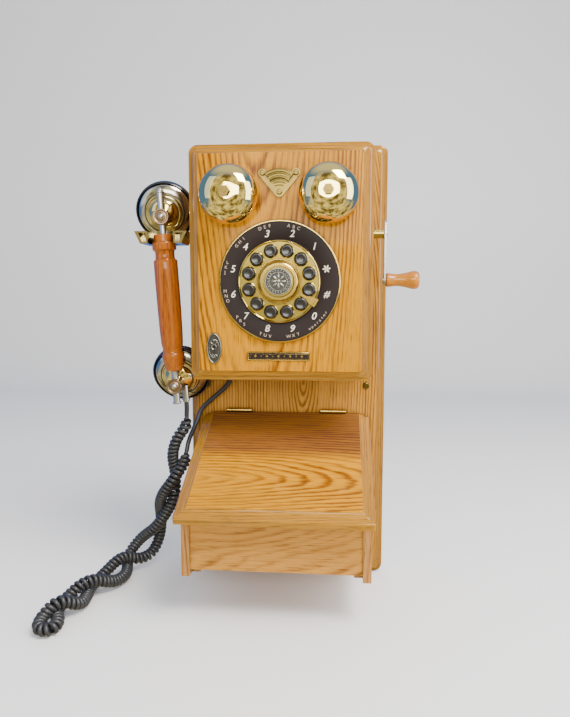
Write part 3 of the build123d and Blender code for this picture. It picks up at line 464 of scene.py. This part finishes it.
SCREW_X, SCREW_Z, SCREW_HOLE = 89.3, 218.2, 2.0
HANGER_X, HANGER_Z, HANGER_HOLE = 55, 426, 7.0
POST_HOLE, DIAL_HOLE = 2.1, 38.0
MOULDING_CORNER = 9  # corner radius of the mouldings' outlines
wall_up = Matrix.Translation(at(0, 0, 0)) @ Matrix.Rotation(math.pi / 2, 4, "X")
board = moulded("board_wood", board_loops(BOARD_HALF, 0, BOARD_TOP, BOARD_EDGE, MOULDING_CORNER), wall_up,
                [oak_board, oak_edge, oak_lip], "base",
                [(s * SCREW_X, SCREW_Z, SCREW_HOLE) for s in (-1, 1)]
                + [(s * HANGER_X, HANGER_Z, HANGER_HOLE) for s in (-1, 1)])
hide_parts("backboard")
panel_up = Matrix.Translation(at(0, PANEL_BACK, 0)) @ Matrix.Rotation(math.pi / 2, 4, "X")
panel = moulded("panel_wood", board_loops(PANEL_HALF, PANEL_LOW, PANEL_TOP, PANEL_EDGE, MOULDING_CORNER),
                panel_up, [oak_panel, oak_edge, oak_lip], "base",
                [(0, DIAL_Z, DIAL_HOLE)] + [(s * BELL_X, BELL_Z, POST_HOLE) for s in (-1, 1)])
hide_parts("front_panel")
coat_nodes(oak_side, "cabinet_side_left", "cabinet_side_right", "cabinet_top", "cabinet_bottom", "desk_sides")
coat_nodes(oak_front, "desk_front")
coat_nodes(oak_dull, "desk_floor", "corner_blocks")
for name in ("cabinet_side_left", "cabinet_side_right", "cabinet_top", "cabinet_bottom", "desk_front"):
    bevel(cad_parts[name], 0.5)
bevel(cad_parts["desk_sides"], 0.9, segments=3)

# The lid slopes about its top back edge.
SLOPE = math.radians(25.5)
LID_EDGE = ((0, -11), (0, -4.6), (0.5, -3.8), (1.5, -3.4), (4.2, -3.3), (5.0, -3.0), (5.5, -2.2), (6.6, -1.6),
            (8.4, -1.4), (9.8, -1.0), (10.5, -0.3), (11.2, 0))
LID_CORNER = 1.8
# The lid's upper strip, above this height, is painted darker: a painted shadow of the cabinet above.
LID_SHADOW_Z = 154
lid_place = Matrix.Translation(at(0, LID_BACK, LID_TOP_Z)) @ Matrix.Rotation(SLOPE, 4, "X")
lid_length = (LID_BACK - LID_FRONT) / math.cos(SLOPE)
lid_loops = []
for inset, height in LID_EDGE:
    soft = max(LID_CORNER - inset * 0.1, 0.9)
    lid_loops.append((rounded_loop(inset - LID_HALF, LID_HALF - inset, inset - lid_length,
                                   height * math.tan(SLOPE), [soft, 0.3, 0.3, soft]), height))
lid_grain = Matrix(((0, 1, 0), (0, 0, 1), (1, 0, 0))) @ Matrix.Rotation(-SLOPE, 3, "X")
oak_lid = wood("oak_lid", "X", (-0.150, -0.040, -0.02), slope=0.16, rings=250, depth=0.010,
               light=(0.62, 0.265, 0.0), dark=(0.20, 0.050, 0.0), contrast=1.3, turn=lid_grain, gloss=0.3,
               wave=0.026, shade=at(0, 0, LID_SHADOW_Z).z)
rail_grain = Matrix(((1, 0, 0), (0, 0, 1), (0, -1, 0))) @ Matrix.Rotation(-SLOPE, 3, "X")
oak_rail = wood("oak_rail", "X", (0.05, 0.02, 0.1), slope=0.03, rings=420, depth=0.02,
                light=LIP_LIGHT, dark=LIP_DARK, contrast=0.8, turn=rail_grain, gloss=1.0)
lid = moulded("lid_wood", lid_loops, lid_place, [oak_lid, oak_rail, oak_lip], "lid")
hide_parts("desk_lid")


# ---------------------------------------------------------------- gongs
RIM, GONG_HEIGHT = 10.0, 22.5  # the rim's height off the panel, and the gong's own height
for side, x in (("left", -BELL_X), ("right", BELL_X)):
    profile = [(28.4, RIM), (28.4, RIM + 3.4)]
    arc(profile, 0, 90, 22, (6.0, RIM + 4), 22.4, 18.5)
    profile += [(2.2, RIM + GONG_HEIGHT), (2.2, RIM + GONG_HEIGHT - 1.3)]
    arc(profile, 90, 0, 22, (6.0, RIM + 4), 21.1, 17.2)
    profile += [(27.1, RIM), (27.5, RIM - 0.01), (28.4, RIM)]
    gong = lathe(f"gong_{side}", profile, gong_gold, "base", facing_y(x, PANEL_FRONT, BELL_Z), 128, 40)
    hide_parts(f"bell_{side}")
coat_nodes(old_brass, "bell_posts")
bevel(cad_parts["bell_posts"], 0.35, 2, 30)
coat_nodes(gold, "hinge_leaves_board", "hinge_leaves_lid")
coat_nodes(old_brass, "fan_bracket", "brass_screws")
coat_nodes(steel, "hanger_plates", "hook_switch")
coat_nodes(black, "line_jack", "cord_grommet", "receiver_cap", "transmitter_cap", "handset_capsules")
coat_nodes(green, "circuit_board", "keypad_board")

# ---------------------------------------------------------------- dial
PLATE_FRONT = 2.6
WHEEL_FRONT = 5.6
KEY_CIRCLE, NUMERAL_CIRCLE, LETTER_CIRCLE, WORD_CIRCLE = 30.4, 47.6, 54.4, 54.6
FIRST_KEY, KEY_STEP = 15, 30


def on_dial(circle, angle, y):
    """x, y and z in mm of a place on a circle about the dial's middle; angle in radians."""
    return circle * math.cos(angle), y, DIAL_Z + circle * math.sin(angle)


dial_place = facing_y(0, PANEL_FRONT, DIAL_Z)
plate_profile = [(38.0, 0), (58.2, 0), (58.2, 2.4), (57.9, 2.6), (42.0, 2.6), (41.4, 2.4), (40.9, 2.6),
                 (38.0, 2.6), (38.0, 0)]
plate = lathe("dial_disc", plate_profile, dial_black, "base", dial_place, 160)
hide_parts("dial_plate")
rim_profile = [(58.2, 0), (60.0, 0), (60.0, 1.6), (59.7, 2.5), (59.1, 3.0), (58.5, 3.0), (58.2, 2.6),
               (58.2, 0)]
rim = lathe("dial_edge", rim_profile, gold, "base", dial_place, 160)
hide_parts("dial_rim")
coat_nodes(brass, "finger_wheel")
coat_nodes(gold, "finger_stop")
bevel(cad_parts["finger_stop"], 0.3)
lathe("wheel_bead", [(38.4, 5.5), (38.6, 6.1), (39.2, 6.5), (39.8, 6.1), (40.0, 5.2), (39.8, 4.9)], gold,
      "base", dial_place, 160)
ring_profile = [(14.8, 8.9), (15.2, 9.2), (17.6, 9.2), (18.3, 8.8), (19.0, 7.6), (19.6, 6.0), (20.6, 5.7),
                (21.2, 6.2), (21.8, 6.2), (22.3, 5.5)]
lathe("wheel_ring", ring_profile, gold, "base", dial_place, 128)
for k, name in enumerate(BUTTON_NAMES):
    a = math.radians(FIRST_KEY + KEY_STEP * k)
    place = facing_y(*on_dial(KEY_CIRCLE, a, PANEL_FRONT))
    front = WHEEL_FRONT + 4.6
    profile = [(2.6, -11.8), (2.6, 1.2), (7.1, 1.2), (7.1, 2.9), (6.0, 3.0), (6.0, front - 2.2)]
    arc(profile, 5, 55, 5, (3.9, front - 2.1), 2.1, 2.0)
    profile += [(4.6, front - 0.25), (3.8, front - 0.55), (2.0, front - 0.75), (0, front - 0.8)]
    key = lathe(f"key_{name}", profile, black, f"button_{name}_body", place, 48, 50)
    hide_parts(f"button_{name}")
    lathe(f"key_ring_{name}", [(6.2, 5.5), (6.25, 6.3), (6.6, 6.6), (7.0, 6.3), (7.1, 5.5)], gold, "base",
          place, 48)


def solid_outline(name, loop, place, thick, mat, body, soft=0.4):
    """A flat plate cut to a loop of (x, y) points, with a softened front edge."""
    verts = [place @ Vector((x * MM, y * MM, h * MM)) for h in (0, thick) for x, y in loop]
    count = len(loop)
    faces = [list(range(count))[::-1], list(range(count, 2 * count))]
    faces += [[k, (k + 1) % count, count + (k + 1) % count, count + k] for k in range(count)]
    obj = mesh_object(name, verts, faces, mat, body)
    return bevel(obj, soft, 3, 50)


INK_Y = PANEL_FRONT - PLATE_FRONT - 0.06


def text(name, words, size, circle, angle, mat, shear=0.0, weight=0.0, turn=0.0):
    """Printed letters centred at a place on the dial's plate, as on_dial gives it."""
    curve = bpy.data.curves.new(name, "FONT")
    curve.body = words
    curve.size = size * MM
    curve.shear = shear
    curve.offset = weight * MM
    curve.extrude = 0.08 * MM
    curve.align_x = "CENTER"
    curve.align_y = "CENTER"
    curve.materials.append(mat)
    obj = bpy.data.objects.new(name, curve)
    bpy.context.scene.collection.objects.link(obj)
    spot = at(*on_dial(circle, angle, INK_Y))
    obj.matrix_world = (Matrix.Translation(spot) @ Matrix.Rotation(math.pi / 2, 4, "X")
                        @ Matrix.Rotation(turn, 4, "Z"))
    bpy.context.view_layer.update()
    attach(obj, "base")


MARKS = ("*", "1", "2", "3", "4", "5", "6", "7", "8", "9", "0", "#")
LETTERS = ("", "", "ABC", "DEF", "GHI", "JKL", "MNO", "PRS", "TUV", "WXY", "operator", "")
LETTER_STEP, WORD_STEP = 5.2, 3.4
for k, (mark, letters) in enumerate(zip(MARKS, LETTERS)):
    angle = FIRST_KEY + KEY_STEP * k
    a = math.radians(angle)
    if mark == "*":
        middle = facing_y(*on_dial(NUMERAL_CIRCLE, a, INK_Y))
        for j in range(3):
            spot = middle @ Matrix.Rotation(math.pi / 3 * j + 0.1, 4, "Z")
            solid_outline(f"numeral_{k}_{j}", rounded_loop(-3.7, 3.7, -0.6, 0.6, [0.3] * 4, 2), spot, 0.08,
                          cream, "base", 0.02)
    else:
        text(f"numeral_{k}", mark, 9.6, NUMERAL_CIRCLE, a, cream, 0.25, 0.05 if mark != "#" else 0.0)
    if letters == "operator":
        for j, letter in enumerate(letters):
            b = math.radians(angle + (j - (len(letters) - 1) / 2) * WORD_STEP)
            text(f"letter_{k}_{j}", letter, 3.8, WORD_CIRCLE, b, faint, turn=b + math.pi / 2)
        continue
    # Three letters follow the circle at the top and the bottom, and stand upright in a column at the left.
    for j, letter in enumerate(letters):
        b = math.radians(angle + (1 - j) * (LETTER_STEP if angle < 180 else -LETTER_STEP))
        if angle < 150:
            lean = b - math.pi / 2
        elif angle < 230:
            lean = 0.0
        else:
            lean = b - math.pi * 1.5
        text(f"letter_{k}_{j}", letter, 4.5, LETTER_CIRCLE, b, faint, weight=-0.02, turn=lean)


# ---------------------------------------------------------------- ornaments
def dome(name, place, radius, height, mat):
    """A low boss that stands on a frame's XY plane."""
    profile = []
    arc(profile, 0, 90, 8, (0, 0), radius, height)
    lathe(name, profile[:-1] + [(0, height)], mat, "base", place, 32, 60)


def shifted(place, x, y, z):
    """A frame moved by mm in its own axes."""
    return place @ Matrix.Translation((x * MM, y * MM, z * MM))


emblem_place = facing_y(0, PANEL_FRONT - 13.0, DIAL_Z)
emblem_profile = [(13.2, -1.4), (13.2, 0.3), (12.7, 0.8), (12.0, 0.8), (11.6, 0.35), (9.4, 0.30), (9.1, 0.75),
                  (8.6, 0.75), (8.3, 0.3), (0, 0.25)]
emblem = lathe("emblem_base", emblem_profile, [pewter, dark_pewter], "base", emblem_place, 96,
               parts=[0, 0, 0, 1, 1, 0, 0, 1, 1])
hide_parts("dial_emblem")
PETALS, BEADS, BEAD_CIRCLE = 8, 24, 10.5
for k in range(PETALS):
    spot = shifted(emblem_place @ Matrix.Rotation(2 * math.pi / PETALS * k, 4, "Z"), 4.6, 0, 0.25)
    dome(f"emblem_petal_{k}", spot @ Matrix.Diagonal((1.5, 0.62, 1, 1)), 2.1, 0.75, pewter)
for k in range(BEADS):
    a = 2 * math.pi / BEADS * k
    spot = shifted(emblem_place, BEAD_CIRCLE * math.cos(a), BEAD_CIRCLE * math.sin(a), 0.25)
    dome(f"emblem_bead_{k}", spot, 0.75, 0.55, pewter)
dome("emblem_heart", shifted(emblem_place, 0, 0, 0.2), 2.0, 1.0, pewter)

OVAL_X, OVAL_Y, OVAL_THICK = 7.6, 15.5, 1.2
key_place = facing_y(-65.7, PANEL_FRONT, 265.0)
oval = []
arc(oval, 0, 354, 59, (0, 0), OVAL_X, OVAL_Y)
shield = solid_outline("keyhole_plate", oval, key_place, OVAL_THICK, dark_pewter, "base", 0.35)
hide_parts("key_escutcheon")
for scale, grow, bead in ((0.90, 0.6, 0.75), (0.66, -1.2, 0.35)):
    ring = [shifted(key_place, OVAL_X * scale * math.cos(t), (OVAL_Y * scale + grow) * math.sin(t),
                    OVAL_THICK).translation for t in (2 * math.pi * k / 64 for k in range(64))]
    tube(f"keyhole_rim_{int(scale * 100)}", ring, bead, pewter, "base", 8, True)
# Painted shade: the eye's floor and the slit are black, standing in for the dark inside of the keyhole.
lathe("keyhole_eye", [(2.9, 0), (2.8, 0.8), (2.3, 1.0), (1.9, 0.7), (1.9, 0.1), (0, 0.1)], [pewter, black],
      "base", shifted(key_place, 0, 1.4, 1.15), 32, 30, parts=[0, 0, 0, 0, 1])
slit = [(-0.7, -1.2), (0.7, -1.2), (1.1, -5.4), (-1.1, -5.4)]
solid_outline("keyhole_slit", slit, shifted(key_place, 0, 0.6, 1.15), 0.25, black, "base", 0.05)
LEAVES = ((0, 7.6, 90), (2.4, 5.4, 35), (-2.4, 5.4, 145), (0, -8.6, -90), (2.2, -7.0, -40),
          (-2.2, -7.0, -140))
for k, (dx, dy, turn) in enumerate(LEAVES):
    spot = shifted(key_place, dx, dy, 1.1) @ Matrix.Rotation(math.radians(turn), 4, "Z")
    dome(f"keyhole_leaf_{k}", spot @ Matrix.Diagonal((1.7, 0.6, 1, 1)), 1.2, 0.9, pewter)

name_place = facing_y(-1, PANEL_FRONT, 257.5)
tag = solid_outline("name_tag", rounded_loop(-30.8, 30.8, -4.3, 4.3, [0.8] * 4, 4), name_place, 0.8,
                    dial_black, "base")
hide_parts("name_plate")
for label, half_w, half_h, corner, height, thick in (("frame", 30.2, 3.7, 0.6, 0.85, 0.5),
                                                     ("line", 28.6, 2.3, 0.5, 0.8, 0.16)):
    loop = rounded_loop(-half_w, half_w, -half_h, half_h, [corner] * 4, 3)
    tube(f"name_tag_{label}", [shifted(name_place, x, y, height).translation for x, y in loop], thick, gold,
         "base", 6, True)
for k in range(-4, 5):
    spot = shifted(name_place, k * 5.8, 0, 0.75) @ Matrix.Rotation(math.pi / 4, 4, "Z")
    size = 0.95 if k % 2 == 0 else 0.5
    square = [(-size, -size), (size, -size), (size, size), (-size, size)]
    solid_outline(f"name_tag_mark_{k + 4}", square, spot, 0.2, gold, "base", 0.05)

# Ridged arches on the fan between the gongs: (radius, the ridge's own radius, height, half angle).
FAN_ARCHES = ((23.0, 0.75, 4.2, 37), (20.9, 0.55, 5.0, 37), (19.2, 0.55, 5.0, 37), (15.2, 0.7, 4.7, 37),
              (11.5, 0.5, 1.7, 30), (8.6, 0.5, 1.7, 30))
fan_place = facing_y(0, PANEL_FRONT, 415.0)
for index, (radius, thick, height, half_angle) in enumerate(FAN_ARCHES):
    line = []
    for j in range(29):
        a = math.radians(90 + half_angle * (1 - j / 14))
        line.append(shifted(fan_place, math.cos(a) * radius, math.sin(a) * radius, height).translation)
    tube(f"fan_arch_{index}", line, thick, old_brass, "base", 8)

# ---------------------------------------------------------------- crank
shaft_profile = [(0, 62), (3.0, 62), (6.5, 65), (6.5, 70), (3.0, 70), (3.0, 83.9), (4.4, 83.9), (4.9, 84.4),
                 (4.9, 104.0), (4.5, 104.5), (4.2, 104.5), (4.2, 106.6), (4.0, 107.1), (2.6, 107.4),
                 (0, 107.4)]
shaft = lathe("crank_axle", shaft_profile, gold, "crank", along_x(0, CRANK_Y, SHAFT_Z), 48)
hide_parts("crank_shaft")
coat_nodes(gold, "crank_bush")
bevel(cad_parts["crank_bush"], 0.5)
coat_nodes(steel, "crank_arm")
bevel(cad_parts["crank_arm"], 0.45, segments=3)
handle_wood = wood("handle_wood", "X", (0.10, 0.01, 0), slope=0.05, rings=260, depth=0.010,
                   light=(0.50, 0.175, 0.012), dark=(0.26, 0.070, 0.004), contrast=0.6, gloss=0.9)
grip_profile = [(2.6, 106.6), (6.3, 106.6), (7.0, 107.2), (7.25, 108.4), (7.1, 110.2), (6.6, 113), (6.3, 116),
                (6.35, 119.5), (6.8, 123), (7.5, 127), (8.5, 131), (9.2, 134), (9.4, 136.2), (9.1, 138.2),
                (8.2, 139.7), (6.8, 140.5), (5.2, 140.6), (4.4, 140.6), (4.3, 139.2), (2.6, 139.2),
                (2.6, 106.6)]
handle = lathe("crank_knob", grip_profile, handle_wood, "crank_grip", along_x(0, CRANK_Y, HANDLE_Z), 64, 50)
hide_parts("crank_handle")

# ---------------------------------------------------------------- handset
HANDSET = Matrix.Translation(at(*HANDSET_AT)) @ Matrix.Rotation(math.radians(HANDSET_TILT), 4, "Y")
LOWER = Matrix.Translation((0, 0, -HANDSET_LENGTH * MM))
red_wood = wood("red_wood", "Z", (-0.12, -0.07, 0.05), slope=0.03, rings=240, depth=0.010,
                light=(0.40, 0.105, 0.006), dark=(0.17, 0.030, 0.001), contrast=0.7, gloss=0.6)
wood_profile = [(3.6, -18), (9.6, -18), (10.2, -18.6), (10.35, -20), (10.2, -24.8), (10.4, -25.6),
                (11.9, -26.2), (12.4, -27.2), (12.4, -33.0), (12.0, -33.9), (10.6, -34.5), (10.1, -35.6),
                (9.9, -39.2), (10.1, -42.6), (10.6, -43.8), (11.9, -44.3), (12.35, -45.4), (12.4, -54),
                (12.42, -75), (12.3, -100), (11.9, -120), (11.4, -131), (11.0, -134.4), (10.4, -136.0),
                (10.3, -138.4), (10.3, -141.0), (10.7, -142.3), (11.35, -143.2), (11.6, -144.6),
                (11.45, -147.6), (10.8, -149.2), (10.3, -151), (9.8, -154), (9.0, -157.8), (8.5, -159.9),
                (7.6, -160.8), (3.6, -160.8), (3.6, -18)]
grip = lathe("grip_wood", wood_profile, red_wood, "handset", HANDSET, 96, 26)
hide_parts("handset_grip")
rod_profile = [(0, -196.6), (3.9, -196.6), (4.6, -196.0), (4.6, -194.8), (3.6, -194.6), (3.6, -170),
               (3.6, 24.6), (4.2, 25), (4.8, 25.4), (4.8, 26.0), (4.2, 26.4), (3.4, 26.6), (3.5, 27.6),
               (2.9, 29.0), (1.9, 30.0), (0, 30.0)]
rod = lathe("handset_spine", rod_profile, steel, "handset", HANDSET, 32)
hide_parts("handset_rod")
coat_nodes(copper, "handset_clamps")
bevel(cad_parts["handset_clamps"], 0.5, segments=3, angle=30)
coat_nodes(silver, "cord_gland")
cup_profile = [(4.6, 7.2), (4.9, 9.6), (6.6, 11.6), (9.6, 12.8), (12.4, 14.0), (14.4, 15.6), (15.1, 16.8),
               (15.3, 18.4), (15.7, 19.0), (17.4, 19.2), (18.4, 19.7), (18.9, 20.8), (19.2, 21.8),
               (20.4, 22.0), (21.8, 22.6), (24.4, 23.6), (27.2, 25.2), (29.2, 27.2), (30.1, 29.2),
               (30.2, 30.4), (28.9, 30.4)]
cup_metals = [pale_gold, gong_gold, silver, dark_pewter]
cup_parts = [1] * 6 + [3, 2] + [0] * 3 + [3, 0, 3] + [2] * 7
knob_profile = [(8.0, 6.2), (8.05, 6.9), (7.6, 7.35), (6.6, 7.4), (6.0, 7.05), (5.6, 6.5), (4.6, 6.5),
                (4.1, 6.9), (3.2, 7.0), (3.0, 7.4), (2.5, 8.3), (1.5, 8.9), (0, 9.1)]
UPPER = Matrix.Rotation(math.radians(RECEIVER_YAW), 4, "Z")
for label, spot in (("receiver", UPPER), ("transmitter", LOWER)):
    place = (HANDSET @ spot @ Matrix.Rotation(math.radians(CUP_TILT), 4, "X")
             @ Matrix.Rotation(-math.pi / 2, 4, "X"))
    cup = lathe(f"{label}_shell", cup_profile, cup_metals, "handset", place, 128, 24, parts=cup_parts)
    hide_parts(f"{label}_cup")
    knob_place = HANDSET @ spot @ Matrix.Rotation(math.pi / 2, 4, "X")
    lathe(f"{label}_knob", knob_profile, [copper, steel], "handset", knob_place, 64, 40,
          parts=[0] * 8 + [1] * 4)
    lathe(f"{label}_band", [(30.2, 26.6), (31.0, 27.2), (31.6, 28.4), (31.9, 30.0), (31.9, 31.5)], black,
          "handset", place, 128, 50)
coat_nodes(pale_gold, "cradle_fork")
bevel(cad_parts["cradle_fork"], 0.7, segments=3)

# ---------------------------------------------------------------- cord
LEAD_IN = ((-60, -26, 233.5), (-60, -26, 225.5), (-70, -24, 213), (-83.5, -23.4, 202), (-96.5, -24.2, 190),
           (-100.5, -28.5, 176), (-107, -40, 158), (-108.5, -44, 146))
COIL = ((-110, -48, 134), (-121, -53, 117), (-142, -40, 90), (-147, -17, 62), (-150, -10, 36),
        (-158, -17, 15), (-171, -32, 13), (-184, -46, 25), (-200, -70, 10), (-204, -90, 7.4),
        (-200, -108, 7.4), (-197, -131, 9), (-211, -149, 23.5), (-223, -160, 11), (-220, -175, 7.4),
        (-206, -175, 7.4), (-206, -160, 7.4), (-216, -145, 7.4), (-218, -125, 9), (-200, -106, 25),
        (-182, -82, 9), (-176, -60, 7.4), (-180, -42, 7.4), (-186, -26, 15), (-172, -17, 34),
        (-147, -33, 54), (-125, -37, 88), (-124, -33, 116), (-126, -42, 140), (-119, -47, 161),
        (-107.0, -47.2, 175.5), (-107.0, -47.2, 186))
GLAND = HANDSET @ LOWER @ Vector((6.2 * MM, 15.0 * MM, -20 * MM))
BELOW = HANDSET @ LOWER @ Vector((6.2 * MM, 15.0 * MM, -27 * MM))
LEAD_OUT = (at(-107.0, -47.2, 190), BELOW, GLAND)
LEAD_R, WIRE_R, COIL_R, PITCH = 2.5, 2.2, 4.45, 4.9
TURN_STEPS, RUN_IN = 14, 9


def spline_points(points):
    """Points of the smooth curve that the route's points steer."""
    curve = bpy.data.curves.new("route", "CURVE")
    curve.dimensions = "3D"
    curve.resolution_u = 24
    line = curve.splines.new("NURBS")
    line.points.add(len(points) - 1)
    for point, p in zip(line.points, points):
        point.co = (*p, 1)
    line.order_u = 3
    line.use_endpoint_u = True
    holder = bpy.data.objects.new("route", curve)
    mesh = bpy.data.meshes.new_from_object(holder)
    result = [v.co.copy() for v in mesh.vertices]
    bpy.data.objects.remove(holder)
    bpy.data.meshes.remove(mesh)
    bpy.data.curves.remove(curve)
    return result


route = [at(*p) for p in LEAD_IN + COIL] + list(LEAD_OUT)
centre = spline_points(route)
lengths = [0.0]
for a, b in zip(centre, centre[1:]):
    lengths.append(lengths[-1] + (b - a).length)


def nearest(p):
    return min(range(len(centre)), key=lambda j: (centre[j] - p).length)


coil_first, coil_last = nearest(at(*LEAD_IN[-1])), nearest(at(*COIL[-1]))
coil_start, coil_end = lengths[coil_first], lengths[coil_last]
wire = []
side = Vector((1, 0, 0))
turn, distance, k = 0.0, coil_start, coil_first
while distance < coil_end:
    while lengths[k + 1] < distance:
        k += 1
    a, b = centre[k], centre[k + 1]
    ahead = (b - a).normalized()
    p = a.lerp(b, (distance - lengths[k]) / (lengths[k + 1] - lengths[k]))
    side = (side - ahead * side.dot(ahead)).normalized()
    into = min((distance - coil_start) / (RUN_IN * MM), (coil_end - distance) / (RUN_IN * MM), 1.0)
    reach = COIL_R * MM * (into * into * (3 - 2 * into))
    wire.append(p + (side * math.cos(turn) + ahead.cross(side) * math.sin(turn)) * reach)
    turn += 2 * math.pi / TURN_STEPS
    uneven = 1 + 0.10 * math.sin(distance * 95) + 0.05 * math.sin(distance * 410)
    distance += PITCH * MM / TURN_STEPS * uneven
wire.append(centre[coil_last])


def declare_cord(node):
    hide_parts(node)


first, middle, final = centre[:coil_first + 1], centre[coil_first:coil_last + 1], centre[coil_last:]
lead_in = tube("cord_to_cabinet", first, LEAD_R, rubber, "base", 16)
curl = tube("curly_cord", wire, WIRE_R, rubber, None, 9)
lead_out = tube("cord_to_handset", final, LEAD_R, rubber, None, 16)
for piece in (curl, lead_out):
    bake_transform(piece)
declare_cord("cord_lead_in")
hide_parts("cord_lead_out")
declare_cord("cord_coil")

# ---------------------------------------------------------------- floor, lights and camera
floor_mat = Shader("floor_white")
cloud = floor_mat.noise(floor_mat.add("TexCoord", out=3), 14.0, 3.0, 0.5)
floor_mat.tree.links.new(floor_mat.mix(cloud, (0.95, 0.95, 0.955), (0.98, 0.98, 0.985)),
                         floor_mat.surface.inputs["Base Color"])
floor_mat.surface.inputs["Roughness"].default_value = 0.5
HALF_WIDTH, NEAR, FAR = 3.5, -2.6, 1.3
BEND_R, WALL_TOP = 0.7, 3.0
GROUND_Z = FLOOR_Z - 0.0004
corners = ((-HALF_WIDTH, NEAR), (HALF_WIDTH, NEAR), (HALF_WIDTH, FAR), (-HALF_WIDTH, FAR))
ground = mesh_object("ground", [Vector((x, y, GROUND_Z)) for x, y in corners], [[0, 1, 2, 3]], floor_mat.mat,
                     None)
bend = []
arc(bend, -90, 0, 24, (FAR, BEND_R), BEND_R, BEND_R)
bend.append((FAR + BEND_R, WALL_TOP))
verts = [Vector((x, y, GROUND_Z + z)) for x in (-HALF_WIDTH, HALF_WIDTH) for y, z in bend]
low = len(bend)
backdrop = mesh_object("backdrop", verts, [[k, k + 1, low + k + 1, low + k] for k in range(low - 1)],
                       floor_mat.mat, None, sharp=60)
backdrop.visible_glossy = False
ground.visible_glossy = False

# The studio is pale to the camera. Polished metal sees blue sides, a cluttered warm room in front and below,
# and a pale ceiling.
STUDIO_PALE, SIDE_BLUE, CEILING = (0.74, 0.76, 0.80, 1), (0.12, 0.30, 0.90, 1), (1.0, 0.98, 0.92, 1)
ROOM_DARK, ROOM_LIGHT = (0.20, 0.15, 0.05, 1), (1.45, 1.28, 0.72, 1)
world = bpy.data.worlds.new("studio")
bpy.context.scene.world = world
world.use_nodes = True
sky = world.node_tree
background = sky.nodes["Background"]


def sky_node(kind, *values, out=0, **settings):
    return make_node(sky, kind, *values, out=out, **settings)


direction = sky_node("SeparateXYZ", sky_node("TexCoord", out=0)).node
to_viewer = sky_node("Math", direction.outputs[1], -1.0, operation="MULTIPLY")
front_part = sky_node("MapRange", to_viewer, 0.35, 0.80)
front_part.node.interpolation_type = "SMOOTHSTEP"
clutter = sky_node("TexNoise", sky_node("TexCoord", out=0), None, 3.2, 3.0, 0.6)
clutter = sky_node("MapRange", clutter, 0.40, 0.60)
warm = sky_node("MixRGB", clutter, ROOM_DARK, ROOM_LIGHT)
seen = sky_node("MixRGB", front_part, SIDE_BLUE, warm)
up_part = sky_node("MapRange", direction.outputs[2], 0.72, 0.95)
seen = sky_node("MixRGB", up_part, seen, CEILING)
down_part = sky_node("MapRange", direction.outputs[2], -0.15, -0.55)
seen = sky_node("MixRGB", down_part, seen, warm)
glossy = sky_node("LightPath", out=3)
colour = sky_node("MixRGB", glossy, STUDIO_PALE, seen)
sky.links.new(colour, background.inputs[0])
background.inputs[1].default_value = 0.85


def area_light(name, place, target, size, power, colour=(1, 1, 1)):
    data = bpy.data.lights.new(name, "AREA")
    data.shape = "RECTANGLE"
    data.size, data.size_y = size
    data.energy = power
    data.color = colour
    obj = bpy.data.objects.new(name, data)
    bpy.context.scene.collection.objects.link(obj)
    obj.location = place
    obj.rotation_euler = (Vector(target) - Vector(place)).to_track_quat("-Z", "Y").to_euler()


area_light("key", (0.65, -0.75, 1.25), (0, 0, 0), size=(0.7, 0.7), power=40, colour=(1.0, 0.96, 0.90))
area_light("fill", (-1.1, -0.7, 0.6), (0, 0, 0.05), size=(0.7, 1.2), power=2.5, colour=(0.92, 0.96, 1.0))
area_light("rim", (1.25, -0.55, 0.45), (0, 0, 0.05), size=(0.8, 1.3), power=18, colour=(1.0, 0.97, 0.92))
area_light("front", (0.1, -1.6, 0.5), (0, 0, 0.05), size=(0.9, 0.5), power=13)

camera_data = bpy.data.cameras.new("camera")
camera_data.lens = 30.435
camera = bpy.data.objects.new("camera", camera_data)
bpy.context.scene.collection.objects.link(camera)
camera.location = at(57.457, -690.933, 315.488)
camera.rotation_euler = (math.pi / 2 - 0.100, 0, 0.087)
bpy.context.scene.camera = camera

bpy.context.view_layer.update()
